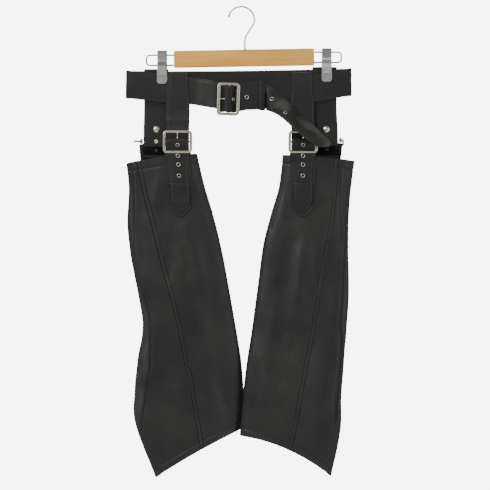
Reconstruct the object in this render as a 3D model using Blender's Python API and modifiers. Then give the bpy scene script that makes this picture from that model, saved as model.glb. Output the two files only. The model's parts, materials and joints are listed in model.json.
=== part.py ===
"""Leather chaps hanging on a wooden clip hanger.

Metres, +Z up. The front faces -Y and +X is to the right as seen from the front.
The origin is the inside top of the hook, where a rail would carry it.
Sizes below are in millimetres and are scaled by MM when a mesh is made.
"""

import math
from collections import namedtuple

import bmesh
import bpy
from mathutils import Matrix, Vector

MM = 0.001
GAP = 0.3

# Leather thicknesses
WALL = 1.8
TURNED_WALL = 3.2
BELT_T = 2.4
STRAP_T = 2.2
TAB_T = 2.0
POCKET_T = 1.8

# Belt
BELT_W = 50.0
BELT_FRONT_Y = -5.0
BELT_BACK_Y = 3.0
BELT_BOW_IN = 43.0
BELT_BOW_OUT = 86.0
BELT_LEFT_X = -208.0
BELT_RIGHT_X = 198.5

# Belt buckle
BUCKLE_X = -23.3
BUCKLE_Z = -167.0
BUCKLE_W = 41.0
BUCKLE_H = 59.0
BUCKLE_BAR = 5.6
BUCKLE_RAIL = 5.0
BUCKLE_TILT_DEG = -2.0
NARROWED_W = 47.4
BUCKLE_CENTRE_BAR = 2.4
BUCKLE_BAR_SHIFT = 0.8
BUCKLE_T = 2.4
BUCKLE_Y = -16.0
KEEPER_X = 37.5
KEEPER_W = 11.0

# Hip buckles
HIP_W = 53.0
HIP_H = 41.0
HIP_BAR = 5.0
HIP_CENTRE_BAR = 2.4
HIP_T = 2.4
TAB_CLEAR = 0.25
HIP_Z = -244.0
PRONG_R = 1.3

# Leg walls
TOP_BAND = 20.0
HEM_BAND = 18.0
LEG_ROUNDNESS = 2.6
ZIP_HALF_W = 2.6
ZIP_SLOT_HALF_W = 3.2
RIDGE_HEIGHT = 1.6
RIDGE_REACH = 7.0
ZIP_FROM_EDGE = 29.0
ZIP_T = 2.2
ZIP_PROUD = 0.3

# Hanger
BAR_L = 254.0
BAR_H = 30.5
BAR_T = 12.0
BAR_X = 5.0
BAR_Z = -91.8
BAR_TILT_DEG = 1.0
HOOK_R = 23.5
WIRE_R = 1.5
WIRE_END_X = {"left": -171.5, "right": 181.0}
WIRE_TOP_Z = {"left": -86.5, "right": -81.0}
WIRE_DROP = 18.5
CLIP_X = {"left": -143.2, "right": 154.5}
CLIP_W = 17.5
CLIP_TOP_Z = {"left": -79.0, "right": -75.0}
SPRING_R = 6.4
PAD_Z_TOP = {"left": -110.0, "right": -106.5}
PAD_H = 29.0
PAD_W = 19.0
PAD_T = 3.0

SIDES = ("left", "right")

LegRow = namedtuple(
    "LegRow", "inner_x inner_z outer_x outer_z seam ridge depth inner_y outer_y bow")

LEG_ROWS = {
    "left": (
        LegRow(-79.6, -264.6, -208.0, -282.2, 0.850, 0.900, 24.0, 0.0, 0.0, 2.5),
        LegRow(-66.6, -321.6, -204.0, -330.7, 0.817, 0.893, 26.0, 0.0, 0.0, 0.0),
        LegRow(-49.4, -379.0, -206.0, -392.0, 0.725, 0.880, 28.0, 0.0, 0.0, 0.0),
        LegRow(-34.9, -440.0, -199.8, -450.1, 0.692, 0.905, 30.0, 1.0, 0.0, 0.0),
        LegRow(-22.3, -506.3, -187.9, -513.5, 0.661, 0.920, 31.0, 3.0, 0.0, 0.0),
        LegRow(-10.5, -573.0, -179.0, -576.8, 0.622, 0.925, 32.0, 6.0, 0.0, 0.0),
        LegRow(-0.6, -634.8, -188.0, -638.4, 0.548, 0.905, 33.0, 9.0, 0.0, 0.0),
        LegRow(4.0, -690.0, -193.3, -698.0, 0.485, 0.910, 34.0, 10.0, 0.0, 0.0),
        LegRow(4.2, -729.5, -191.6, -752.0, 0.450, 0.935, 35.0, 10.0, 0.0, 1.0),
        LegRow(-1.0, -764.0, -155.8, -850.2, 0.466, 0.950, 36.0, 10.0, 0.0, 4.0),
    ),
    "right": (
        LegRow(74.6, -266.8, 205.3, -278.0, 0.773, 0.880, 24.0, 0.0, 0.0, 2.0),
        LegRow(68.2, -323.0, 198.6, -328.0, 0.800, 0.909, 26.0, 0.0, 0.0, 0.0),
        LegRow(53.5, -374.1, 194.4, -379.0, 0.810, 0.925, 28.0, 0.0, 0.0, 0.0),
        LegRow(39.5, -430.0, 193.6, -434.0, 0.767, 0.940, 30.0, -1.0, 0.0, 0.0),
        LegRow(29.6, -504.0, 194.6, -507.0, 0.700, 0.950, 31.0, -3.0, 0.0, 0.0),
        LegRow(19.6, -577.0, 191.3, -581.0, 0.660, 0.955, 32.0, -6.0, 0.0, 0.0),
        LegRow(10.3, -638.4, 186.2, -643.0, 0.628, 0.940, 33.0, -9.0, 0.0, 0.0),
        LegRow(3.6, -694.0, 181.0, -703.5, 0.600, 0.905, 34.0, -10.0, 0.0, 0.0),
        LegRow(-0.5, -738.0, 179.7, -763.0, 0.565, 0.950, 35.0, -10.0, 0.0, 5.0),
        LegRow(-2.9, -774.0, 163.3, -847.6, 0.560, 0.970, 36.0, -10.0, 0.0, 14.0),
    ),
}

# Largest soft folds of the legs: a line, its reach across and its height, minus for a trough
Fold = namedtuple("Fold", "face x0 z0 x1 z1 reach height")

LEG_FOLDS = {
    "left": (
        Fold("front", -98.0, -400.0, -60.0, -520.0, 17.0, 2.6),
        Fold("front", -60.0, -455.0, -40.0, -640.0, 15.0, -2.2),
        Fold("front", -120.0, -520.0, -96.0, -680.0, 16.0, 2.2),
        Fold("front", -150.0, -600.0, -140.0, -790.0, 15.0, -2.4),
        Fold("front", -50.0, -640.0, -62.0, -760.0, 18.0, 2.8),
        Fold("back", -70.0, -400.0, -60.0, -640.0, 20.0, 2.4),
        Fold("back", -120.0, -480.0, -112.0, -760.0, 18.0, -2.6),
    ),
    "right": (
        Fold("front", 118.0, -400.0, 96.0, -560.0, 17.0, 2.6),
        Fold("front", 92.0, -430.0, 66.0, -620.0, 14.0, -2.2),
        Fold("front", 60.0, -560.0, 40.0, -740.0, 16.0, 2.4),
        Fold("front", 150.0, -560.0, 138.0, -790.0, 16.0, -2.2),
        Fold("front", 112.0, -640.0, 96.0, -780.0, 17.0, 2.6),
        Fold("back", 80.0, -420.0, 66.0, -660.0, 20.0, 2.4),
        Fold("back", 130.0, -470.0, 122.0, -770.0, 18.0, -2.6),
    ),
}

HIP_X = {"left": -114.8, "right": 111.3}
HIP_LEAN = {"left": 5.0, "right": -0.6}
STRAP_X = {"left": -115.0, "right": 110.0}
BACK_STRAP_X = {"left": (-154.0, -155.4), "right": (150.6, 153.8)}
STRAP_TOP_HALF_W = 18.4
STRAP_HALF_W = 21.6
BUCKLED_HALF_W = 21.0
EYELET_STRAP_HALF_W = 16.8
BACK_STRAP_HALF_W = 22.0
EYELET_Z = (-249.2, -269.0, -284.9, -305.0)
SNAP_Z = (-220.5, -242.5)
TAB_REACHES = (-24.0, -12.0, 0.0, 12.0, 24.0)


def mix(a, b, t):
    return a + (b - a) * t


def clamp(t, low=0.0, high=1.0):
    return max(low, min(high, t))


def smooth(t):
    t = clamp(t)
    return t * t * (3.0 - 2.0 * t)


def table_at(table, x):
    """Straight-line reading of a table of (x, value) rows sorted by rising x."""
    if x <= table[0][0]:
        return table[0][1]
    for (x0, y0), (x1, y1) in zip(table, table[1:]):
        if x <= x1:
            return mix(y0, y1, (x - x0) / (x1 - x0))
    return table[-1][1]


def smooth_path(points, per_span):
    """Points of a Catmull-Rom curve through a list of tuples."""
    ends = [tuple(2 * a - b for a, b in zip(points[0], points[1]))]
    ends += list(points)
    ends.append(tuple(2 * a - b for a, b in zip(points[-1], points[-2])))
    out = []
    for i in range(1, len(ends) - 2):
        p0, p1, p2, p3 = ends[i - 1:i + 3]
        for k in range(per_span):
            t = k / per_span
            out.append(tuple(cubic(a, b, c, d, t) for a, b, c, d in zip(p0, p1, p2, p3)))
    out.append(tuple(points[-1]))
    return out


def cubic(a, b, c, d, t):
    return 0.5 * (2 * b + (c - a) * t + (2 * a - 5 * b + 4 * c - d) * t * t
                  + (3 * b - a - 3 * c + d) * t * t * t)


def arc(centre, radius, start_deg, end_deg, steps):
    """Points of an arc in a plane, angles from its first axis to its second."""
    points = []
    for k in range(steps + 1):
        angle = math.radians(mix(start_deg, end_deg, k / steps))
        points.append((centre[0] + radius * math.cos(angle),
                       centre[1] + radius * math.sin(angle)))
    return points


# Scene and materials

def clear_scene():
    for obj in list(bpy.data.objects):
        bpy.data.objects.remove(obj, do_unlink=True)


def new_collection(name):
    collection = bpy.data.collections.new(name)
    bpy.context.scene.collection.children.link(collection)
    return collection


FINISHES = {
    "black_leather": ((0.018, 0.017, 0.016), 0.45, 0.0),
    "belt_leather": ((0.020, 0.019, 0.017), 0.42, 0.0),
    "nickel": ((0.62, 0.60, 0.55), 0.28, 1.0),
    "zip_metal": ((0.40, 0.40, 0.41), 0.35, 1.0),
    "steel_wire": ((0.66, 0.67, 0.69), 0.22, 1.0),
    "bar_wood": ((0.62, 0.38, 0.16), 0.5, 0.0),
    "clip_pad": ((0.78, 0.80, 0.80), 0.4, 0.0),
}


def set_material(obj, finish):
    """Give the object its own Principled material of the finish."""
    colour, roughness, metallic = FINISHES[finish]
    material = bpy.data.materials.new(obj.name + "_" + finish)
    material.use_nodes = True
    shader = material.node_tree.nodes["Principled BSDF"]
    shader.inputs["Base Color"].default_value = (*colour, 1.0)
    shader.inputs["Roughness"].default_value = roughness
    shader.inputs["Metallic"].default_value = metallic
    obj.data.materials.clear()
    obj.data.materials.append(material)


def add_mesh(name, verts_mm, faces, finish, smooth_shade=True):
    mesh = bpy.data.meshes.new(name)
    mesh.from_pydata([tuple(c * MM for c in v) for v in verts_mm], [], faces)
    work = bmesh.new()
    work.from_mesh(mesh)
    bmesh.ops.recalc_face_normals(work, faces=work.faces)
    work.to_mesh(mesh)
    work.free()
    if smooth_shade:
        mesh.shade_smooth()
        mesh.set_sharp_from_angle(angle=math.radians(40))
    obj = bpy.data.objects.new(name, mesh)
    PARTS.objects.link(obj)
    set_material(obj, finish)
    return obj


def wall_solid(name, outer, inner, finish):
    """A closed wall between two grids of points with the same rows and columns."""
    rows = len(outer)
    cols = len(outer[0])
    verts = [p for row in outer for p in row]
    verts += [p for row in inner for p in row]
    lower = rows * cols
    faces = []

    def quad(a, b, c, d):
        faces.append((a, b, c, d))

    for r in range(rows - 1):
        for c in range(cols - 1):
            a = r * cols + c
            quad(a, a + 1, a + cols + 1, a + cols)
            quad(lower + a, lower + a + cols, lower + a + cols + 1, lower + a + 1)
    for r in range(rows - 1):
        for c in (0, cols - 1):
            a = r * cols + c
            quad(a, a + cols, lower + a + cols, lower + a)
    for c in range(cols - 1):
        for r in (0, rows - 1):
            a = r * cols + c
            quad(a, a + 1, lower + a + 1, lower + a)
    return add_mesh(name, verts, faces, finish)


Station = namedtuple("Station", "centre half_width normal")


def strap_solid(name, stations, thickness, finish, cols=1, relief=None):
    """A flat strap lofted through stations, its face moved by relief(point) along Y."""
    outer = []
    inner = []
    for st in stations:
        front_row = []
        back_row = []
        for c in range(cols + 1):
            across = 2.0 * c / cols - 1.0
            point = st.centre + st.half_width * across
            if relief:
                point = point + Vector((0.0, relief(point), 0.0))
            front_row.append(tuple(point + st.normal * (thickness / 2)))
            back_row.append(tuple(point - st.normal * (thickness / 2)))
        outer.append(front_row)
        inner.append(back_row)
    return wall_solid(name, outer, inner, finish)


def upright_stations(path, edges):
    """Stations of a strap that runs in the YZ plane. edges(z) gives its two X values."""
    stations = []
    last = len(path) - 1
    for i, (y, z) in enumerate(path):
        y0, z0 = path[max(i - 1, 0)]
        y1, z1 = path[min(i + 1, last)]
        run = math.hypot(y1 - y0, z1 - z0)
        normal = Vector((0.0, (z1 - z0) / run, -(y1 - y0) / run))
        x_low, x_high = edges(z)
        centre = Vector(((x_low + x_high) / 2, y, z))
        stations.append(Station(centre, Vector(((x_high - x_low) / 2, 0.0, 0.0)), normal))
    return stations


# Flat outlines and turned pieces

def outline_object(name, loops, thickness, finish, matrix):
    """A flat plate from closed outlines in millimetres, the first outside, then its holes."""
    curve = bpy.data.curves.new(name + "_outline", "CURVE")
    curve.dimensions = "2D"
    curve.fill_mode = "BOTH"
    curve.extrude = thickness * MM / 2
    for loop in loops:
        spline = curve.splines.new("POLY")
        spline.points.add(len(loop) - 1)
        for point, (a, b) in zip(spline.points, loop):
            point.co = (a * MM, b * MM, 0.0, 1.0)
        spline.use_cyclic_u = True
    source = bpy.data.objects.new(name + "_outline", curve)
    bpy.context.scene.collection.objects.link(source)
    bpy.context.view_layer.update()
    graph = bpy.context.evaluated_depsgraph_get()
    mesh = bpy.data.meshes.new_from_object(source.evaluated_get(graph))
    bpy.data.objects.remove(source, do_unlink=True)
    work = bmesh.new()
    work.from_mesh(mesh)
    bmesh.ops.remove_doubles(work, verts=work.verts, dist=1e-6)
    bmesh.ops.recalc_face_normals(work, faces=work.faces)
    work.to_mesh(mesh)
    work.free()
    mesh.transform(matrix)
    mesh.name = name
    obj = bpy.data.objects.new(name, mesh)
    PARTS.objects.link(obj)
    set_material(obj, finish)
    return obj


def rounded_rectangle(width, height, radius, centre=(0.0, 0.0), steps=4):
    points = []
    corners = ((1, 1, 0), (-1, 1, 90), (-1, -1, 180), (1, -1, 270))
    for sx, sy, start in corners:
        corner = (centre[0] + sx * (width / 2 - radius), centre[1] + sy * (height / 2 - radius))
        points += arc(corner, radius, start, start + 90, steps)
    return points


def facing_front(x, y, z, tilt_deg=0.0):
    """Place an outline's plane upright, facing -Y, at a point in millimetres."""
    place = Matrix.Translation(Vector((x, y, z)) * MM)
    return (place @ Matrix.Rotation(math.radians(-tilt_deg), 4, "Y")
            @ Matrix.Rotation(math.radians(90), 4, "X"))


def turned_object(name, profile, steps, finish, centre, normal):
    """A turned piece: profile of (radius, height) rows, top to bottom on its outside."""
    mesh = bpy.data.meshes.new(name)
    verts = [(r * MM, 0.0, h * MM) for r, h in profile]
    edges = [(i, i + 1) for i in range(len(profile) - 1)]
    if profile[0][0] > 0.0:
        edges.append((len(profile) - 1, 0))
    mesh.from_pydata(verts, edges, [])
    obj = bpy.data.objects.new(name, mesh)
    PARTS.objects.link(obj)
    screw = obj.modifiers.new("turn", "SCREW")
    screw.axis = "Z"
    screw.steps = steps
    screw.render_steps = steps
    screw.use_merge_vertices = True
    screw.merge_threshold = 0.00001
    obj.location = Vector(centre) * MM
    obj.rotation_euler = Vector(normal).to_track_quat("Z", "Y").to_euler()
    set_material(obj, finish)
    return obj


def wire_object(name, points, radius, finish, cyclic=False):
    """A round wire along points in millimetres, with closed ends."""
    curve = bpy.data.curves.new(name, "CURVE")
    curve.dimensions = "3D"
    curve.bevel_depth = radius * MM
    curve.bevel_resolution = 2
    curve.use_fill_caps = True
    spline = curve.splines.new("POLY")
    spline.points.add(len(points) - 1)
    for point, place in zip(spline.points, points):
        point.co = (place[0] * MM, place[1] * MM, place[2] * MM, 1.0)
    spline.use_cyclic_u = cyclic
    obj = bpy.data.objects.new(name, curve)
    PARTS.objects.link(obj)
    set_material(obj, finish)
    return obj


def box_object(name, size, centre, finish, bevel=0.0, tilt_deg=0.0, segments=2):
    bpy.ops.mesh.primitive_cube_add(size=1.0)
    obj = bpy.context.object
    for collection in list(obj.users_collection):
        collection.objects.unlink(obj)
    PARTS.objects.link(obj)
    obj.name = name
    obj.data.name = name
    obj.data.transform(Matrix.Diagonal((size[0] * MM, size[1] * MM, size[2] * MM, 1.0)))
    obj.location = Vector(centre) * MM
    obj.rotation_euler = (0.0, math.radians(-tilt_deg), 0.0)
    if bevel:
        modifier = obj.modifiers.new("edges", "BEVEL")
        modifier.width = bevel * MM
        modifier.segments = segments
        modifier.limit_method = "ANGLE"
    set_material(obj, finish)
    return obj


def join_solids(target, others):
    """Add other solids to the target with Boolean unions, then remove them."""
    for other in others:
        union = target.modifiers.new("join", "BOOLEAN")
        union.operation = "UNION"
        union.solver = "EXACT"
        union.object = other
    bpy.context.view_layer.update()
    graph = bpy.context.evaluated_depsgraph_get()
    mesh = bpy.data.meshes.new_from_object(target.evaluated_get(graph))
    target.modifiers.clear()
    target.data = mesh
    for other in others:
        bpy.data.objects.remove(other, do_unlink=True)


# Legs: one flattened tube of three panels and a zip

def leg_row(side, v):
    """The leg's cross row at v, 0 at the front's top edge and 1 at the hem."""
    rows = LEG_ROWS[side]
    place = v * (len(rows) - 1)
    if place <= 0.0:
        return LegRow(*(mix(a, b, place) for a, b in zip(rows[0], rows[1])))
    index = min(int(place), len(rows) - 2)
    before = rows[max(index - 1, 0)]
    after = rows[min(index + 2, len(rows) - 1)]
    t = place - index
    return LegRow(*(cubic(a, b, c, d, t)
                    for a, b, c, d in zip(before, rows[index], rows[index + 1], after)))


def fold_height(side, face, x, z):
    """How far the leg's folds stand out at a place on its face."""
    height = 0.0
    for fold in LEG_FOLDS[side]:
        if fold.face != face:
            continue
        dx = fold.x1 - fold.x0
        dz = fold.z1 - fold.z0
        along = clamp(((x - fold.x0) * dx + (z - fold.z0) * dz) / (dx * dx + dz * dz))
        away = math.hypot(x - fold.x0 - along * dx, z - fold.z0 - along * dz)
        height += fold.height * math.exp(-(away / fold.reach) ** 2)
    return height


def leg_point(side, theta, v):
    """A point on the leg's outer skin. theta is 0 at the inseam, pi at the outer fold."""
    row = leg_row(side, v)
    power = 2.0 / LEG_ROUNDNESS
    across = math.copysign(abs(math.cos(theta)) ** power, math.cos(theta))
    depth = math.copysign(abs(math.sin(theta)) ** power, math.sin(theta))
    u = (1.0 - across) / 2
    x = mix(row.inner_x, row.outer_x, u)
    z = mix(row.inner_z, row.outer_z, u) + row.bow * 4 * u * (1 - u)
    face = "front" if depth >= 0.0 else "back"
    swell = fold_height(side, face, x, z) * smooth(abs(depth) * 1.4 - 0.4)
    if face == "front":
        from_ridge = (u - row.ridge) * abs(row.outer_x - row.inner_x)
        swell += RIDGE_HEIGHT * math.exp(-(from_ridge / RIDGE_REACH) ** 2)
    half = row.depth / 2 + swell
    y = mix(row.inner_y, row.outer_y, u) - depth * half
    return Vector((x, y, z))


def leg_normal(side, theta, v):
    step = 1e-3
    along = leg_point(side, theta + step, v) - leg_point(side, theta - step, v)
    turn = 1.0 if side == "left" else -1.0
    return Vector((-along.y * turn, along.x * turn, 0.0)).normalized()


def theta_at(u, face="front"):
    """The section angle where the leg's skin is at u of its width."""
    across = 1.0 - 2.0 * u
    angle = math.acos(math.copysign(abs(across) ** (LEG_ROUNDNESS / 2), across))
    return angle if face == "front" else 2 * math.pi - angle


def theta_step(side, theta, v, distance):
    """The angle that moves a distance along the section."""
    step = 1e-3
    moved = leg_point(side, theta + step, v) - leg_point(side, theta - step, v)
    return distance * 2 * step / moved.length


def seam_theta(side, v):
    return theta_at(leg_row(side, v).seam)


def zip_theta(side, v):
    row = leg_row(side, v)
    u = 1.0 - ZIP_FROM_EDGE / abs(row.outer_x - row.inner_x)
    return theta_at(u, "back")


def inseam_theta(side, v):
    """Half the gap of the inseam, as an angle."""
    half_depth = leg_row(side, v).depth / 2
    return math.asin((GAP / half_depth) ** (LEG_ROUNDNESS / 2))


def row_length(side, u):
    """How much height one unit of v holds near the top and near the hem."""
    rows = LEG_ROWS[side]
    spans = len(rows) - 1
    heights = [mix(rows[k].inner_z, rows[k].outer_z, u) for k in (0, 1, -2, -1)]
    return (heights[0] - heights[1]) * spans, (heights[2] - heights[3]) * spans


def skin_u(theta):
    power = 2.0 / LEG_ROUNDNESS
    return (1.0 - math.copysign(abs(math.cos(theta)) ** power, math.cos(theta))) / 2


# How far the back stands above the front's top edge: (share of the width, millimetres)
BACK_RISE = ((0.0, 0.0), (0.28, 1.0), (0.46, 24.0), (0.6, 28.5), (0.80, 28.0), (1.0, 0.0))
MAIN_ROWS = 19


def panel_rows(side, theta, rises):
    """The v values and wall thicknesses of a panel's rows at a section angle."""
    u = skin_u(theta)
    top_length, low_length = row_length(side, u)
    v_top = -table_at(BACK_RISE, u) / top_length if rises else 0.0
    v_band = TOP_BAND / top_length
    v_hem = 1.0 - HEM_BAND / low_length
    step = 0.5
    rows = [(v_top, TURNED_WALL), (v_top + v_band, TURNED_WALL),
            (v_top + v_band + step / top_length, WALL)]
    for k in range(1, MAIN_ROWS):
        rows.append((mix(v_band, v_hem, k / MAIN_ROWS), WALL))
    rows += [(v_hem - step / low_length, WALL), (v_hem, TURNED_WALL), (1.0, TURNED_WALL)]
    return rows


def leg_panel(name, side, first, last, cols, rises=False, skin_out=0.0, wall=None):
    """A wall from one edge angle to the other. first(v) and last(v) give the edges."""
    count = len(panel_rows(side, 0.0, rises))
    outer = []
    inner = []
    for r in range(count):
        outer_row = []
        inner_row = []
        for c in range(cols + 1):
            guess = mix(first(r / count), last(r / count), c / cols)
            for _ in range(3):
                v, thickness = panel_rows(side, guess, rises)[r]
                guess = mix(first(v), last(v), c / cols)
            theta = guess
            normal = leg_normal(side, theta, v)
            point = leg_point(side, theta, v)
            deep = thickness if wall is None else wall - skin_out
            outer_row.append(tuple(point + normal * skin_out))
            inner_row.append(tuple(point - normal * deep))
        outer.append(outer_row)
        inner.append(inner_row)
    return wall_solid(name, outer, inner, "black_leather" if wall is None else "zip_metal")


def build_leg(side):
    def at_gap(edge, sign, half=GAP / 2):
        def angle(v):
            theta = edge(side, v)
            return theta + sign * theta_step(side, theta, v, half)
        return angle

    def inseam_front(v):
        return inseam_theta(side, v)

    def inseam_back(v):
        return 2 * math.pi - inseam_theta(side, v)

    side_edge = at_gap(zip_theta, -1.0, ZIP_SLOT_HALF_W)
    back_edge = at_gap(zip_theta, 1.0, ZIP_SLOT_HALF_W)
    leg_panel("leg_front_" + side, side, inseam_front, at_gap(seam_theta, -1.0), 9)
    leg_panel("leg_side_" + side, side, at_gap(seam_theta, 1.0), side_edge, 9)
    leg_panel("leg_back_" + side, side, back_edge, inseam_back, 8, rises=True)
    leg_panel("zip_chain_" + side, side, at_gap(zip_theta, -1.0, ZIP_HALF_W),
              at_gap(zip_theta, 1.0, ZIP_HALF_W), 1, rises=True, skin_out=ZIP_PROUD, wall=ZIP_T)


def skin_y(side, x, z, face="front"):
    """Y of the leg's outer skin at a place seen from the front."""
    v = 0.0
    theta = math.pi / 2
    for _ in range(12):
        row = leg_row(side, v)
        u = clamp((x - row.inner_x) / (row.outer_x - row.inner_x), 0.01, 0.99)
        theta = theta_at(u, face)
        point = leg_point(side, theta, v)
        v = v + (point.z - z) / 570.0
    return leg_point(side, theta, v).y


def hip_x(side, z):
    """Middle of the hip tab and of the strap on it, which lean below the buckle."""
    return HIP_X[side] + HIP_LEAN[side] * clamp((HIP_Z - 14.0 - z) / 96.0)


def tab_wall_y(side, z):
    """Y just forward of the wall across the hip tab at a height."""
    return min(skin_y(side, hip_x(side, z) + reach, z) for reach in TAB_REACHES) - TAB_CLEAR


# Zip slider and pull

SLIDER_W = 5.0
SLIDER_D = 5.4
SLIDER_H = 8.5
PIN_OUT = 2.3
PIN_R = 0.7
PULL_L = 9.5
PULL_H = 3.2
PULL_T = 1.4
EAR_T = 1.0
EAR_GAP = 2.0


def zip_top(side):
    """The middle of the zip's top end, on the leg's back."""
    theta = zip_theta(side, 0.0)
    top_length, _ = row_length(side, skin_u(theta))
    v = -table_at(BACK_RISE, skin_u(theta)) / top_length
    return leg_point(side, zip_theta(side, v), v)


def pull_axis(side):
    """A point on the axis that the pull turns on."""
    outward = -1.0 if side == "left" else 1.0
    top = zip_top(side)
    reach = outward * (SLIDER_W / 2 + PIN_OUT)
    return Vector((top.x + reach, top.y - 1.0, top.z + 1.0 + SLIDER_H / 2))


def build_slider(side):
    outward = -1.0 if side == "left" else 1.0
    axis = pull_axis(side)
    centre = axis - Vector((outward * (SLIDER_W / 2 + PIN_OUT), 0.0, 0.0))
    body = box_object("zip_slider_" + side, (SLIDER_W, SLIDER_D, SLIDER_H), centre, "zip_metal")
    ears = []
    for sign in (-1.0, 1.0):
        place = axis + Vector((-outward * 1.0, sign * (EAR_GAP + EAR_T) / 2, 0.0))
        ears.append(box_object("ear", (PIN_OUT + 2.0, EAR_T, 3.2), place, "zip_metal"))
    bpy.ops.mesh.primitive_cylinder_add(vertices=12, radius=PIN_R * MM, depth=(EAR_GAP + EAR_T) * MM)
    pin = bpy.context.object
    pin.data.transform(Matrix.Rotation(math.radians(90), 4, "X"))
    pin.location = axis * MM
    join_solids(body, ears + [pin])
    set_material(body, "zip_metal")

    root = arc((0.0, 0.0), PULL_H / 2, 90, 270, 6)
    tip = arc((PULL_L - PULL_H / 2, 0.0), PULL_H / 2, -90, 90, 6)
    hole = arc((0.0, 0.0), PIN_R + GAP, 0, 330, 11)
    point_deg = 180.0 if side == "left" else -90.0
    turn = Matrix.Rotation(math.radians(point_deg), 4, "Z")
    place = facing_front(*axis)
    outline_object("zip_pull_" + side, [root + tip, hole], PULL_T, "zip_metal", place @ turn)


# Belt: one long strap, folded flat round both ends

def belt_front_y(x, middle_y):
    """Y of a front layer: level with the clips outside, forward near the buckle."""
    t = smooth((BELT_BOW_OUT - abs(x)) / (BELT_BOW_OUT - BELT_BOW_IN))
    return mix(BELT_FRONT_Y, middle_y, t)


def belt_back_y(x):
    return BELT_BACK_Y + 6.0 * smooth((120.0 - abs(x)) / 90.0)


FRONT_TOP_Z = (
    (-206.0, -114.5), (-185.0, -117.0), (-154.0, -120.2), (-117.0, -123.2), (-98.0, -124.2),
    (-75.0, -128.6), (-56.0, -132.0), (-46.0, -135.0), (-37.0, -143.0), (-10.0, -143.8),
    (-2.5, -138.0), (4.0, -136.6), (37.5, -135.1), (61.0, -131.9), (88.0, -126.6),
    (109.0, -123.6), (128.0, -121.6), (155.0, -117.2), (175.0, -113.6), (196.0, -110.5),
)
BACK_TOP_Z = (
    (-206.0, -114.5), (-150.0, -115.4), (-60.0, -114.5), (20.0, -113.6), (110.0, -112.4),
    (155.0, -111.4), (196.0, -110.5),
)

# The free end: where its upper and lower edges are seen, with the upper edge's depth
TailRow = namedtuple("TailRow", "upper_x upper_z lower_x lower_z upper_y width")
TAIL_ROWS = (
    TailRow(46.9, -140.1, 45.7, -187.9, -13.1, 50.0),
    TailRow(59.8, -149.1, 55.5, -192.1, -14.5, 50.0),
    TailRow(73.7, -160.7, 68.2, -199.1, -16.5, 50.0),
    TailRow(87.6, -174.8, 78.9, -207.9, -18.5, 50.0),
    TailRow(99.5, -189.3, 90.6, -219.0, -19.5, 50.0),
    TailRow(113.4, -201.8, 101.4, -228.4, -20.0, 50.0),
    TailRow(128.3, -213.8, 114.2, -239.7, -21.0, 48.5),
    TailRow(140.1, -224.9, 127.2, -248.3, -24.0, 40.0),
    TailRow(150.7, -235.7, 139.8, -254.3, -32.0, 26.0),
    TailRow(160.6, -248.2, 156.5, -253.9, -43.0, 9.0),
)


BELT_EYELETS = ((10.0, -163.5), (55.0, -168.0), (79.5, -193.5))
# The free end's way through the buckle: x and how far it has come forward
THROUGH_BUCKLE = ((-37.0, 0.0), (-34.2, 0.22), (-30.4, 0.82), (-27.2, 1.0), (-20.0, 1.0),
                  (-16.4, 0.78), (-12.8, 0.22), (-9.8, 0.0), (10.0, 0.0), (27.0, 0.0), (43.5, 0.0))
BACK_BELT_X = (172.0, 145.0, 120.0, 95.0, 70.0, 45.0, 20.0,
               -10.0, -40.0, -65.0, -90.0, -120.0, -150.0, -180.0)


def belt_lean(x, y):
    """The upward direction of the belt's width, leaning with the buckle beside it."""
    if y > BELT_FRONT_Y:
        return Vector((0.0, 0.0, 1.0))
    lean = -math.radians(BUCKLE_TILT_DEG) * smooth((42.0 - abs(x - BUCKLE_X)) / 14.0)
    return Vector((math.sin(lean), 0.0, math.cos(lean)))


def belt_stations(path):
    """Stations of an upright strap. path holds rows of (x, y, top z, width)."""
    stations = []
    last = len(path) - 1
    for i, (x, y, top, width) in enumerate(path):
        x0, y0 = path[max(i - 1, 0)][:2]
        x1, y1 = path[min(i + 1, last)][:2]
        run = math.hypot(x1 - x0, y1 - y0)
        normal = Vector((-(y1 - y0) / run, (x1 - x0) / run, 0.0))
        centre = Vector((x, y, top - width / 2))
        stations.append(Station(centre, belt_lean(x, y) * (width / 2), normal))
    return stations


def tail_stations(rows):
    """Stations of the twisting free end, whose true width never changes but at its tip."""
    places = []
    for row in rows:
        seen = math.hypot(row.upper_x - row.lower_x, row.upper_z - row.lower_z)
        forward = math.sqrt(max(row.width ** 2 - seen ** 2, 0.0))
        upper = Vector((row.upper_x, row.upper_y, row.upper_z))
        lower = Vector((row.lower_x, row.upper_y - forward, row.lower_z))
        places.append((upper, lower))
    stations = []
    last = len(places) - 1
    for i, (upper, lower) in enumerate(places):
        before = places[max(i - 1, 0)]
        after = places[min(i + 1, last)]
        along = (after[0] + after[1]) - (before[0] + before[1])
        across = (upper - lower) / 2
        normal = across.cross(along).normalized()
        stations.append(Station((upper + lower) / 2, across, normal))
    return stations


def front_belt_width(x):
    """The belt is squeezed where it goes through its buckle."""
    beside = clamp((abs(x - BUCKLE_X) - BUCKLE_W / 2 + 3.0) / 14.0)
    return mix(NARROWED_W, BELT_W, smooth(beside))


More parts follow.
